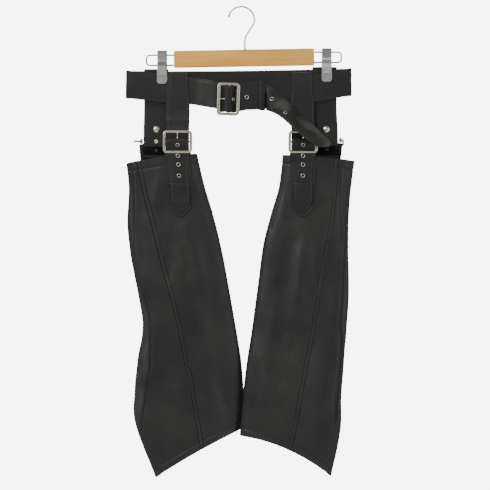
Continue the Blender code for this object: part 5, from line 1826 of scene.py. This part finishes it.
def build_back_strap(side):
    path = back_strap_path(side)
    x_top, x_low = BACK_STRAP_X[side]

    def edges(z):
        x = mix(x_top, x_low, smooth((-165.0 - z) / 90.0))
        return x - BACK_STRAP_HALF_W, x + BACK_STRAP_HALF_W

    stations = smooth_stations(upright_stations(path, edges))
    outer, inner, wear_and_painted_light, runs = strap_grid(stations, STRAP_T, -1, 10, None, 0.3)
    piece = add_leather("snap_strap_" + side, outer, inner, wear_and_painted_light, strap_leather(),
                        ("back_strap_" + side,))
    piece.data.materials.append(shaded_leather())
    for face in piece.data.polygons:
        if SHADE_Z[0] * MM < face.center.z < SHADE_Z[1] * MM:
            face.material_index = 2
    thread = Bundle()
    for run in runs.values():
        add_stitches(thread, run)
    add_thread("snap_strap_stitching_" + side, thread)


# Belt

def belt_layers():
    behind_y = BUCKLE_Y + BUCKLE_T / 2 + GAP + BELT_T / 2
    anchored_y = behind_y + BELT_T + GAP
    wrap_r = math.hypot(BUCKLE_T, BUCKLE_CENTRE_BAR) / 2 + GAP + BELT_T / 2
    over_y = BUCKLE_Y - wrap_r - GAP - BELT_T
    return behind_y, anchored_y, wrap_r, over_y


def belt_run():
    """Stations of the whole belt, from its sewn end round the bar to its free tip."""
    behind_y, anchored_y, wrap_r, over_y = belt_layers()
    bar_x = BUCKLE_X + BUCKLE_BAR_SHIFT
    path = arc((bar_x, BUCKLE_Y), wrap_r, 335, 90, 11)
    wrapped_y = BUCKLE_Y + wrap_r
    path += [(bar_x + 3.0, wrapped_y), (bar_x + 6.5, mix(wrapped_y, anchored_y, 0.25)),
             (bar_x + 10.0, mix(wrapped_y, anchored_y, 0.85)), (bar_x + 13.0, anchored_y),
             (-3.5, anchored_y)]
    for x in (12.0, 27.0, 43.0, 52.0, 60.0, 68.0, 77.0, 86.0, 110.0, 135.0, 160.0, 180.0):
        path.append((x, belt_front_y(x, anchored_y)))
    fold_r = (BELT_BACK_Y - BELT_FRONT_Y) / 2
    fold_y = (BELT_BACK_Y + BELT_FRONT_Y) / 2
    path += arc((BELT_RIGHT_X - fold_r, fold_y), fold_r, -90, 90, 8)
    for x in BACK_BELT_X:
        path.append((x, belt_back_y(x)))
    back_count = len(path)
    path += arc((BELT_LEFT_X + fold_r, fold_y), fold_r, 90, 270, 8)
    for x in (-180.0, -150.0, -120.0, -86.0, -77.0, -68.0, -60.0, -52.0, -45.0):
        path.append((x, belt_front_y(x, behind_y)))
    for x, forward in THROUGH_BUCKLE:
        path.append((x, mix(behind_y, over_y, forward)))
    right_fold = next(i for i, p in enumerate(path) if p[0] > BELT_RIGHT_X - 1.0)
    rows = []
    for i, (x, y) in enumerate(path):
        on_back = right_fold <= i < back_count
        top = table_at(BACK_TOP_Z if on_back else FRONT_TOP_Z, x)
        rows.append((x, y, top, BELT_W if on_back else front_belt_width(x)))
    return belt_stations(rows) + tail_stations(TAIL_ROWS)


def build_belt():
    stations = smooth_stations(belt_run())
    outer, inner, wear_and_painted_light, runs = strap_grid(stations, BELT_T, -1, 12, None, 0.7)
    # Painted sheen: patches of tint on the twisted free end where it faces the lamps.
    tail_start = len(outer) - len(TAIL_ROWS) * STRAP_SMOOTHING
    for r in range(tail_start, len(outer)):
        for c, point in enumerate(outer[r]):
            sheen_patch = smooth((noise.noise(point * 0.03) + 0.15) / 0.4)
            wear_and_painted_light[r][c] += smooth((r - tail_start) / 6.0) * mix(0.25, 1.0, sheen_patch)
    add_leather("belt_strap", outer, inner, wear_and_painted_light, belt_leather(), ("belt",),
                belt_leather())
    thread = Bundle()
    for run in runs.values():
        add_stitches(thread, run)
    add_thread("belt_stitching", thread)


# Ring and plate forms

RING_SECTION = ((0.0, 0.55), (0.06, 0.82), (0.2, 0.97), (0.5, 1.0), (0.8, 0.97), (0.94, 0.82), (1.0, 0.55),
                (1.0, -0.55), (0.94, -0.82), (0.8, -0.97), (0.5, -1.0), (0.2, -0.97), (0.06, -0.82),
                (0.0, -0.55))
BAND_SECTION = ((0.0, 0.88), (0.25, 1.0), (0.75, 1.0), (1.0, 0.88),
                (1.0, -0.88), (0.75, -1.0), (0.25, -1.0), (0.0, -0.88))


def ring_form(outer_loop, inner_loop, thickness, section, matrix):
    rings = []
    for (ox, oy), (ix, iy) in zip(outer_loop, inner_loop):
        ring = []
        for t, w in section:
            ring.append(matrix @ Vector((mix(ox, ix, t), mix(oy, iy, t), w * thickness / 2)))
        rings.append(ring)
    return swept_mesh(rings, closed=True)


PLATE_STEPS = ((1.5, -1.0), (0.6, -0.86), (0.1, -0.5), (0.0, 0.0), (0.1, 0.5), (0.6, 0.86), (1.5, 1.0))


def plate_form(width, height, radius, thickness, matrix):
    rings = []
    for inset, w in PLATE_STEPS:
        loop = rounded_rectangle(width - 2 * inset, height - 2 * inset, max(radius - inset, 0.5), steps=8)
        rings.append([matrix @ Vector((a, b, w * thickness / 2)) for a, b in loop])
    return swept_mesh(rings)


def upright(x, y, z, tilt_deg=0.0):
    """A flat form's plane set upright, facing the front."""
    return (Matrix.Translation(Vector((x, y, z))) @ Matrix.Rotation(math.radians(-tilt_deg), 4, "Y")
            @ Matrix.Rotation(math.radians(90), 4, "X"))


def buckle_frame(width, height, bar_w, bar_h, radius, thickness, matrix):
    """Ring of a buckle: bars of one width at its sides and of another at top and bottom."""
    outer = rounded_rectangle(width, height, radius, steps=8)
    inner = rounded_rectangle(width - 2 * bar_w, height - 2 * bar_h, 1.6, steps=8)
    return ring_form(outer, inner, thickness, RING_SECTION, matrix)


EYELET_RING = ((2.2, 0.1), (2.2, 0.7), (2.5, 1.05), (3.1, 1.15), (3.7, 0.9), (4.1, 0.45), (4.2, 0.0),
               (3.0, 0.0))
SNAP_DOME = ((0.3, 2.55), (2.2, 2.4), (4.0, 1.95), (5.3, 1.3), (5.9, 0.8), (6.3, 0.7), (6.4, 0.3), (6.2, 0.0),
             (0.3, 0.0))
SNAP_SOCKET = ((0.3, 0.7), (1.5, 0.9), (2.2, 1.5), (3.2, 1.7), (4.2, 1.3), (5.2, 0.5), (5.4, 0.0), (0.3, 0.0))
# Near-black disc of painted shade in the middle of each eyelet
EYELET_SHADE_DISC = ((0.05, 0.2), (2.3, 0.2), (2.3, 0.0), (0.05, 0.0))
TURN_STEPS = 28


def turned_form(profile, point, facing, scale=1.0, joined=True):
    """A form turned about its facing. profile holds (radius, height) rows."""
    turn = facing.to_track_quat("Z", "Y").to_matrix()
    rings = []
    for k in range(TURN_STEPS):
        angle = 2 * math.pi * k / TURN_STEPS
        ring = []
        for r, h in profile:
            local = Vector((r * math.cos(angle), r * math.sin(angle), h)) * scale
            ring.append(point + turn @ local)
        rings.append(ring)
    return swept_mesh(rings, closed=True)


PRONG_HOLE_X = -29.5
WINDOW_EYELET = (-14.1, -167.5)


def build_belt_fittings():
    behind_y, anchored_y, _, over_y = belt_layers()
    frame_piece = Bundle()
    matrix = upright(BUCKLE_X, BUCKLE_Y, BUCKLE_Z, BUCKLE_TILT_DEG)
    frame_piece.add(*buckle_frame(BUCKLE_W, BUCKLE_H, BUCKLE_BAR, BUCKLE_RAIL, 7.0, BUCKLE_T, matrix))
    reach = BUCKLE_H / 2 - BUCKLE_RAIL + 1.0
    bar = [matrix @ Vector((BUCKLE_BAR_SHIFT, b, 0.0)) for b in (-reach, -reach / 2, 0.0, reach / 2, reach)]
    frame_piece.add(*wire_mesh(bar, BUCKLE_CENTRE_BAR / 2, 12, rounded=False))
    add_piece("belt_frame", frame_piece.mesh("belt_frame"), [nickel()], replaces=("belt_buckle",))

    front = over_y - BELT_T / 2 - GAP - PRONG_R
    tip = BUCKLE_Y - BUCKLE_T / 2 - GAP - PRONG_R
    prong = [(PRONG_HOLE_X + 1.0, front + 3.0, BUCKLE_Z), (PRONG_HOLE_X - 0.5, front + 0.6, BUCKLE_Z),
             (-33.0, mix(front, tip, 0.35) - 0.5, BUCKLE_Z), (-38.0, tip - 0.2, BUCKLE_Z),
             (-42.0, tip, BUCKLE_Z)]
    tongue = Bundle()
    tongue.add(*wire_mesh(smooth_path(prong, 5), PRONG_R, 12, tip=PRONG_R * 0.8))
    add_piece("belt_tongue", tongue.mesh("belt_tongue"), [nickel()], replaces=("belt_prong",))

    eyelets = Bundle()
    shade_discs = Bundle()
    for x, z in BELT_EYELETS:
        point, facing = belt_face_at(x, z, behind_y)
        eyelets.add(*turned_form(EYELET_RING, point - facing * 0.1, facing))
        shade_discs.add(*turned_form(EYELET_SHADE_DISC, point, facing))
    # Painted shade inside the belt's eyelets
    add_piece("belt_eyelet_holes", shade_discs.mesh("belt_eyelet_holes"), [shaded_leather()])
    seat = Vector((WINDOW_EYELET[0], mix(behind_y, over_y, 0.55) - BELT_T / 2, WINDOW_EYELET[1]))
    eyelets.add(*turned_form(EYELET_RING, seat, Vector((0.75, -0.66, 0.0)).normalized(), 0.85))
    add_piece("belt_eyelets", eyelets.mesh("belt_eyelets"), [eyelet_silver()],
              replaces=tuple("belt_eyelet_%d" % (k + 1) for k in range(len(BELT_EYELETS))))

    depth = anchored_y - behind_y + BELT_T + 2 * GAP
    outer = rounded_rectangle(depth + 3.6, BELT_W + 4.6, 2.6, steps=6)
    inner = rounded_rectangle(depth, BELT_W + 2.4, 0.4, steps=6)
    centre = (KEEPER_X, (behind_y + anchored_y) / 2, table_at(FRONT_TOP_Z, KEEPER_X) - BELT_W / 2 + GAP)
    turn = Matrix.Rotation(math.radians(90), 4, "Z") @ Matrix.Rotation(math.radians(90), 4, "X")
    keeper = Bundle()
    keeper.add(*ring_form(outer, inner, KEEPER_W, BAND_SECTION, Matrix.Translation(Vector(centre)) @ turn))
    add_piece("belt_loop", keeper.mesh("belt_loop"), [belt_leather()],
              replaces=("belt_keeper",))


def build_hip_fittings(side):
    layers = hip_layers(side)
    x = HIP_X[side]
    frame_piece = Bundle()
    matrix = upright(x, layers.frame, HIP_Z)
    frame_piece.add(*buckle_frame(HIP_W, HIP_H, HIP_BAR, HIP_BAR - 0.6, 7.0, HIP_T, matrix))
    reach = HIP_W / 2 - HIP_BAR + 1.0
    bar = [matrix @ Vector((a, 0.0, 0.0)) for a in (-reach, -reach / 2, 0.0, reach / 2, reach)]
    frame_piece.add(*wire_mesh(bar, HIP_CENTRE_BAR / 2, 12, rounded=False))
    add_piece("hip_frame_" + side, frame_piece.mesh("hip_frame_" + side), [nickel()],
              replaces=("hip_buckle_" + side,))
    start = layers.over - STRAP_T / 2 - GAP - PRONG_R
    tip = layers.frame - HIP_T / 2 - GAP - PRONG_R
    prong = [(x, start + 3.0, HIP_Z + 5.0), (x, start + 0.4, HIP_Z + 7.0),
             (x, mix(start, tip, 0.45) - 0.4, HIP_Z + 10.5), (x, tip - 0.2, HIP_Z + 14.5),
             (x, tip, HIP_Z + 19.0)]
    tongue = Bundle()
    tongue.add(*wire_mesh(smooth_path(prong, 5), PRONG_R * 1.15, 12, tip=PRONG_R))
    add_piece("hip_tongue_" + side, tongue.mesh("hip_tongue_" + side), [nickel()],
              replaces=("hip_prong_" + side,))
    path = front_strap_path(side)
    eyelets = Bundle()
    shade_discs = Bundle()
    for z in EYELET_Z:
        point, facing = strap_face_at(path, hip_x(side, z), z, STRAP_T)
        point.y += station_relief(side)(point)
        eyelets.add(*turned_form(EYELET_RING, point - facing * 0.1, facing))
        shade_discs.add(*turned_form(EYELET_SHADE_DISC, point, facing))
    # Painted shade inside the strap's eyelets
    add_piece("hip_eyelet_shade_discs_" + side, shade_discs.mesh("hip_eyelet_shade_discs_" + side), [shaded_leather()])
    add_piece("hip_eyelets_" + side, eyelets.mesh("hip_eyelets_" + side), [eyelet_silver()],
              replaces=tuple("hip_eyelet_%s_%d" % (side, k + 1) for k in range(len(EYELET_Z))))


LOWER_SNAP_Z = {"left": -259.0, "right": -257.0}


def build_snaps(side):
    path = back_strap_path(side)
    x_top, x_low = BACK_STRAP_X[side]
    studs = Bundle()
    shaded = Bundle()
    rows = ((studs, SNAP_Z[0], SNAP_DOME, 0.88), (studs, SNAP_Z[1], SNAP_SOCKET, 0.8),
            (shaded, LOWER_SNAP_Z[side], SNAP_SOCKET, 0.7))
    for bundle, z, profile, scale in rows:
        for (y0, z0), (y1, z1) in zip(path, path[1:]):
            if z0 <= z <= z1:
                t = (z - z0) / (z1 - z0)
                run = math.hypot(y1 - y0, z1 - z0)
                facing = Vector((0.0, -(z1 - z0) / run, (y1 - y0) / run))
                x = mix(x_top, x_low, smooth((-165.0 - z) / 90.0)) + 1.5
                point = Vector((x, mix(y0, y1, t), z)) + facing * (STRAP_T / 2 - 0.1)
                bundle.add(*turned_form(profile, point, facing, scale))
                break
    add_piece("press_studs_" + side, studs.mesh("press_studs_" + side), [nickel()],
              replaces=("snap_%s_1" % side, "snap_%s_2" % side))
    add_piece("low_press_stud_" + side, shaded.mesh("low_press_stud_" + side), [shaded_nickel()])


# Hanger

BALL_R = 2.3
SPRING_WIRE_R = 0.75
SPRING_TURNS = 7
ARM_T = 1.2
ARM_COLUMNS = 40
FLUTES = 5
FLUTE_DEPTH = 0.22
RIB_PITCH = 3.1
RIB_DEPTH = 0.3


def build_hanger():
    centre = (0.0, WIRE_R - HOOK_R)
    ring = arc(centre, HOOK_R, 164, -22, 16)
    stem_x = 6.5
    bar_top = BAR_Z + BAR_H / 2 + GAP
    ring += [(17.2, -37.8), (12.6, -44.8), (8.8, -51.2), (6.9, -57.5), (stem_x, -64.0), (stem_x, bar_top)]
    points = smooth_path([(x, 0.0, z) for x, z in ring], 4)
    hook = Bundle()
    hook.add(*wire_mesh(points, WIRE_R, 14, rounded=False))
    ball = Vector(points[0])
    profile = [(max(BALL_R * math.sin(math.pi * k / 12), 0.02), -BALL_R * math.cos(math.pi * k / 12))
               for k in range(13)]
    hook.add(*turned_form(profile, ball, Vector((0.0, -1.0, 0.0))))
    collar = ((WIRE_R, 1.6), (2.6, 1.4), (3.0, 0.4), (3.0, 0.05), (WIRE_R, 0.05))
    hook.add(*turned_form(collar, Vector((stem_x, 0.0, bar_top - 0.1)), Vector((0.0, 0.0, 1.0))))
    add_piece("hook_wire", hook.mesh("hook_wire"), [hanger_steel()], replaces=("hook",))
    for side in SIDES:
        sign = -1.0 if side == "left" else 1.0
        bar_end = BAR_X + sign * (BAR_L / 2 + GAP)
        end = WIRE_END_X[side]
        top = WIRE_TOP_Z[side]
        low = top - WIRE_DROP
        radius = 6.0
        corner = end - sign * radius
        loop = [(bar_end, top), (mix(bar_end, corner, 0.5), top)]
        loop += arc((corner, top - radius), radius, 90, 90 - sign * 90, 8)
        loop += arc((corner, low + radius), radius, 90 - sign * 90, 90 - sign * 180, 8)
        loop += [(mix(bar_end, corner, 0.5), low), (bar_end, low)]
        wire = Bundle()
        wire.add(*wire_mesh([(x, 0.0, z) for x, z in loop], WIRE_R, 14, rounded=False))
        add_piece("bar_wire_" + side, wire.mesh("bar_wire_" + side), [hanger_steel()],
                  replaces=("hanger_wire_" + side,))


def build_clip(side):
    x = CLIP_X[side]
    top = CLIP_TOP_Z[side]
    pad_top = PAD_Z_TOP[side]
    faces = (("front", BELT_FRONT_Y - BELT_T / 2 - GAP, -1.0),
             ("back", BELT_BACK_Y + BELT_T / 2 + 2 * GAP + STRAP_T, 1.0))
    for label, face, out in faces:
        pad = Bundle()
        middle = upright(x, face + out * PAD_T / 2, pad_top - PAD_H / 2)
        pad.add(*plate_form(PAD_W, PAD_H, 6.0, PAD_T, middle))
        add_piece("grip_pad_%s_%s" % (label, side), pad.mesh("grip_pad"), [pad_finish()],
                  replaces=("clip_pad_%s_%s" % (label, side),))
        arm_y = face + out * (PAD_T + GAP + ARM_T / 2)
        waist = out * (SPRING_R + GAP + ARM_T / 2)
        path = [(out * 5.2, top), (waist, top - 3.5), (waist, top - 12.0), (waist, top - 20.0),
                (arm_y, pad_top + 2.0), (arm_y, pad_top - 14.0)]
        path = smooth_path(path, 12)
        if out > 0:
            path = path[::-1]
        stations = upright_stations(path, lambda z: (x - CLIP_W / 2, x + CLIP_W / 2))
        outer = []
        inner = []
        wear_and_painted_light = []
        for st in stations:
            upper = smooth((st.centre.z - (top - 17.0)) / 3.0)
            rib = upper * RIB_DEPTH * math.cos(2 * math.pi * (top - st.centre.z) / RIB_PITCH)
            rows = ([], [])
            for c in range(ARM_COLUMNS + 1):
                across = 2.0 * c / ARM_COLUMNS - 1.0
                flute = (1.0 - upper) * FLUTE_DEPTH * math.cos(math.pi * FLUTES * 2 * across)
                edge = smooth((1.0 - abs(across)) / 0.12)
                point = st.centre + st.half_width * across
                rise = (rib + flute) * edge
                rows[0].append(point + st.normal * (ARM_T / 2 * mix(0.6, 1.0, edge) + rise))
                rows[1].append(point - st.normal * (ARM_T / 2 * mix(0.6, 1.0, edge) - rise))
            outer.append(rows[0])
            inner.append(rows[1])
            wear_and_painted_light.append([0.0] * (ARM_COLUMNS + 1))
        name = "grip_arm_%s_%s" % (label, side)
        add_piece(name, wall_mesh(name, outer, inner, wear_and_painted_light), [hanger_steel(), hanger_steel()],
                  replaces=("clip_arm_%s_%s" % (label, side),))
    coil = []
    width = CLIP_W - 4.5
    radius = SPRING_R - SPRING_WIRE_R
    steps = SPRING_TURNS * 20
    for k in range(steps + 1):
        angle = 2 * math.pi * k / 20
        coil.append((x - width / 2 + width * k / steps, radius * math.cos(angle),
                     WIRE_TOP_Z[side] + radius * math.sin(angle)))
    spring = Bundle()
    spring.add(*wire_mesh(coil, SPRING_WIRE_R, 8))
    add_piece("grip_spring_" + side, spring.mesh("grip_spring"), [hanger_steel()],
              replaces=("clip_spring_" + side,))


CAD_FINISHES = (
    (("hanger_bar",), wood_finish),
    (("zip_slider_left", "zip_slider_right", "zip_pull_left", "zip_pull_right"), zip_metal),
)


def finish_kept_nodes():
    """Give the nodes that stay their finished material and softened edges."""
    for names, finish in CAD_FINISHES:
        for name in names:
            slots = frame["nodes"][name].material_slots
            for slot in slots:
                slot.material = finish()
            if not slots:
                frame["nodes"][name].data.materials.append(finish())
            bevel = frame["nodes"][name].modifiers.new("softened edges", "BEVEL")
            bevel.width = 0.0012 if name == "hanger_bar" else 0.0002
            bevel.segments = 3
            bevel.limit_method = "ANGLE"


# Stage

FLOOR_HALF = 3.4
FLOOR_Z = -1.3
FRAME_W = 0.887
CAMERA_FAR = 3.6
AIM = (0.0067, -0.43)


def floor_finish():
    material, tree, shader = start_material("pale studio floor")
    place = node(tree, "ShaderNodeTexCoord", -700).outputs["Object"]
    mottle = noise_node(tree, place, 2.0, 2.0, -500)
    tree.links.new(mixed(tree, mottle, (0.84, 0.84, 0.84, 1.0), (0.90, 0.90, 0.90, 1.0), -300),
                   shader.inputs["Base Color"])
    shader.inputs["Roughness"].default_value = 0.9
    shader.inputs["Specular IOR Level"].default_value = 0.1
    return material


def add_light(name, place, aim, size, power):
    light = bpy.data.lights.new(name, "AREA")
    light.shape = "RECTANGLE"
    light.size = size[0]
    light.size_y = size[1]
    light.energy = power
    obj = bpy.data.objects.new(name, light)
    bpy.context.scene.collection.objects.link(obj)
    obj.location = place
    obj.rotation_mode = "QUATERNION"
    obj.rotation_quaternion = (Vector(aim) - Vector(place)).to_track_quat("-Z", "Y")


def room_world():
    """Even white room: what the camera sees of it is brighter than the light it gives."""
    world = bpy.data.worlds.new("soft white room")
    world.use_nodes = True
    tree = world.node_tree
    seen = node(tree, "ShaderNodeLightPath", -600)
    strength = node(tree, "ShaderNodeMix", -300, data_type="FLOAT")
    tree.links.new(seen.outputs["Is Camera Ray"], strength.inputs[0])
    strength.inputs[2].default_value = sizes().room_light
    strength.inputs[3].default_value = sizes().backdrop_light
    background = tree.nodes["Background"]
    background.inputs["Color"].default_value = (1.0, 1.0, 1.0, 1.0)
    tree.links.new(strength.outputs[0], background.inputs["Strength"])
    return world


def build_stage():
    mesh = bpy.data.meshes.new("studio_floor")
    corners = [(-FLOOR_HALF, -FLOOR_HALF), (FLOOR_HALF, -FLOOR_HALF), (FLOOR_HALF, FLOOR_HALF),
               (-FLOOR_HALF, FLOOR_HALF)]
    mesh.from_pydata([(x, y, FLOOR_Z) for x, y in corners], [], [(0, 1, 2, 3)])
    mesh.materials.append(floor_finish())
    floor = bpy.data.objects.new("studio_floor", mesh)
    bpy.context.scene.collection.objects.link(floor)

    aim = (AIM[0], 0.0, AIM[1])
    power = sizes().key_power
    add_light("key_light", (-1.5, -2.4, 1.1), aim, (1.6, 1.6), power)
    add_light("fill_light", (2.2, -2.2, 0.0), aim, (2.2, 2.2), power * 0.35)
    add_light("rim_light", (0.3, 2.2, 1.2), aim, (2.4, 1.6), power * 0.6)
    bpy.context.scene.world = room_world()

    camera = bpy.data.cameras.new("photo_camera")
    camera.sensor_width = 36.0
    camera.lens = camera.sensor_width * CAMERA_FAR / FRAME_W
    obj = bpy.data.objects.new("photo_camera", camera)
    bpy.context.scene.collection.objects.link(obj)
    obj.location = (AIM[0], -CAMERA_FAR, AIM[1])
    obj.rotation_euler = (math.radians(90), 0.0, 0.0)
    bpy.context.scene.camera = obj


# Add-on

class ChapsSizes(PropertyGroup):
    """Sizes that a user would change."""

    stitch_length: FloatProperty(
        name="Stitch Length", description="Length of thread that shows in one stitch",
        default=0.0026, min=0.001, max=0.006, unit="LENGTH")
    stitch_pitch: FloatProperty(
        name="Stitch Pitch", description="Distance from one stitch to the next",
        default=0.0034, min=0.0015, max=0.008, unit="LENGTH")
    thread_thickness: FloatProperty(
        name="Thread Thickness", description="Diameter of the sewing thread",
        default=0.0007, min=0.0003, max=0.0015, unit="LENGTH")
    tooth_pitch: FloatProperty(
        name="Tooth Pitch", description="Distance between two teeth on one side of a zip",
        default=0.0026, min=0.002, max=0.006, unit="LENGTH")
    key_power: FloatProperty(
        name="Key Light", description="Power of the main studio light", default=60.0, min=0.0, unit="POWER")
    room_light: FloatProperty(
        name="Room Light", description="Strength of the light from all round", default=0.55, min=0.0)
    backdrop_light: FloatProperty(
        name="Backdrop", description="How bright the room looks behind the chaps", default=7.0, min=0.0)


class ChapsColours(PropertyGroup):
    """Colours that a user would change."""

    leather: FloatVectorProperty(
        name="Leather", description="Main colour of the leather", subtype="COLOR", size=3,
        default=(0.0125, 0.0125, 0.0123), min=0.0, max=1.0)
    # Tint of rubbed edges, also used as painted sheen on the strip beside the legs' outer folds
    leather_tint: FloatVectorProperty(
        name="Leather Tint", description="Colour where the leather is rubbed or thin on its edges",
        subtype="COLOR", size=3, default=(0.042, 0.041, 0.035), min=0.0, max=1.0)
    # Tint of the belt's rubbed edges, also used as painted sheen on its twisted free end
    belt_rub_and_sheen: FloatVectorProperty(
        name="Belt Tint", description="Colour of the rubbed places on the belt", subtype="COLOR", size=3,
        default=(0.075, 0.078, 0.060), min=0.0, max=1.0)
    buckle: FloatVectorProperty(
        name="Buckles", description="Colour of the plated buckles and studs", subtype="COLOR", size=3,
        default=(0.56, 0.51, 0.40), min=0.0, max=1.0)
    wood: FloatVectorProperty(
        name="Wood", description="Main colour of the hanger bar", subtype="COLOR", size=3,
        default=(0.80, 0.44, 0.10), min=0.0, max=1.0)
    wood_grain: FloatVectorProperty(
        name="Wood Grain", description="Colour of the grain of the hanger bar", subtype="COLOR", size=3,
        default=(0.62, 0.30, 0.05), min=0.0, max=1.0)


class CHAPS_OT_legs(Operator):
    """Build the six leather panels of the two legs with their stitching"""
    bl_idname = "chaps.legs"
    bl_label = "Build Legs"

    def execute(self, context):
        for side in SIDES:
            build_leg(side)
        return {"FINISHED"}


class CHAPS_OT_zips(Operator):
    """Build the zips up the outer backs of the legs"""
    bl_idname = "chaps.zips"
    bl_label = "Build Zips"

    def execute(self, context):
        for side in SIDES:
            build_zip(side)
        return {"FINISHED"}


class CHAPS_OT_hip_straps(Operator):
    """Build the eyelet straps at the front and the press stud straps at the back"""
    bl_idname = "chaps.hip_straps"
    bl_label = "Build Hip Straps"

    def execute(self, context):
        for side in SIDES:
            build_front_strap(side)
            build_back_strap(side)
        return {"FINISHED"}


class CHAPS_OT_hip_tabs(Operator):
    """Build the pointed buckle tabs and the keepers sewn on them"""
    bl_idname = "chaps.hip_tabs"
    bl_label = "Build Hip Tabs"

    def execute(self, context):
        for side in SIDES:
            build_hip_tab(side)
            build_hip_pocket(side)
        return {"FINISHED"}


class CHAPS_OT_belt(Operator):
    """Build the belt, folded round both ends and buckled at the front"""
    bl_idname = "chaps.belt"
    bl_label = "Build Belt"

    def execute(self, context):
        build_belt()
        return {"FINISHED"}


class CHAPS_OT_fittings(Operator):
    """Build the buckles, prongs, eyelets, press studs and the belt's loop"""
    bl_idname = "chaps.fittings"
    bl_label = "Build Fittings"

    def execute(self, context):
        build_belt_fittings()
        for side in SIDES:
            build_hip_fittings(side)
            build_snaps(side)
        return {"FINISHED"}


class CHAPS_OT_hanger(Operator):
    """Build the hook, the wire loops and the sprung clips, and varnish the wooden bar"""
    bl_idname = "chaps.hanger"
    bl_label = "Build Hanger"

    def execute(self, context):
        build_hanger()
        for side in SIDES:
            build_clip(side)
        finish_kept_nodes()
        return {"FINISHED"}


class CHAPS_OT_stage(Operator):
    """Set up the pale floor, the white room, the soft lights and the camera"""
    bl_idname = "chaps.stage"
    bl_label = "Set Up Stage"

    def execute(self, context):
        build_stage()
        return {"FINISHED"}


class CHAPS_PT_panel(Panel):
    """The chaps' sizes, colours and steps"""
    bl_label = "Leather Chaps"
    bl_idname = "CHAPS_PT_panel"
    bl_space_type = "VIEW_3D"
    bl_region_type = "UI"
    bl_category = "Chaps"

    def draw(self, context):
        layout = self.layout
        for group in (context.scene.chaps_sizes, context.scene.chaps_colours):
            for name in group.__annotations__:
                layout.prop(group, name)
        for operator in OPERATORS:
            layout.operator(operator.bl_idname)


OPERATORS = (CHAPS_OT_legs, CHAPS_OT_zips, CHAPS_OT_hip_straps, CHAPS_OT_hip_tabs, CHAPS_OT_belt,
             CHAPS_OT_fittings, CHAPS_OT_hanger, CHAPS_OT_stage)
CLASSES = (ChapsSizes, ChapsColours) + OPERATORS + (CHAPS_PT_panel,)


def register():
    for cls in CLASSES:
        bpy.utils.register_class(cls)
    bpy.types.Scene.chaps_sizes = PointerProperty(type=ChapsSizes)
    bpy.types.Scene.chaps_colours = PointerProperty(type=ChapsColours)


def unregister():
    del bpy.types.Scene.chaps_colours
    del bpy.types.Scene.chaps_sizes
    for cls in reversed(CLASSES):
        bpy.utils.unregister_class(cls)


def main():
    register()
    bpy.ops.chaps.legs()
    bpy.ops.chaps.zips()
    bpy.ops.chaps.hip_straps()
    bpy.ops.chaps.hip_tabs()
    bpy.ops.chaps.belt()
    bpy.ops.chaps.fittings()
    bpy.ops.chaps.hanger()
    bpy.ops.chaps.stage()


if __name__ == "__main__":
    main()
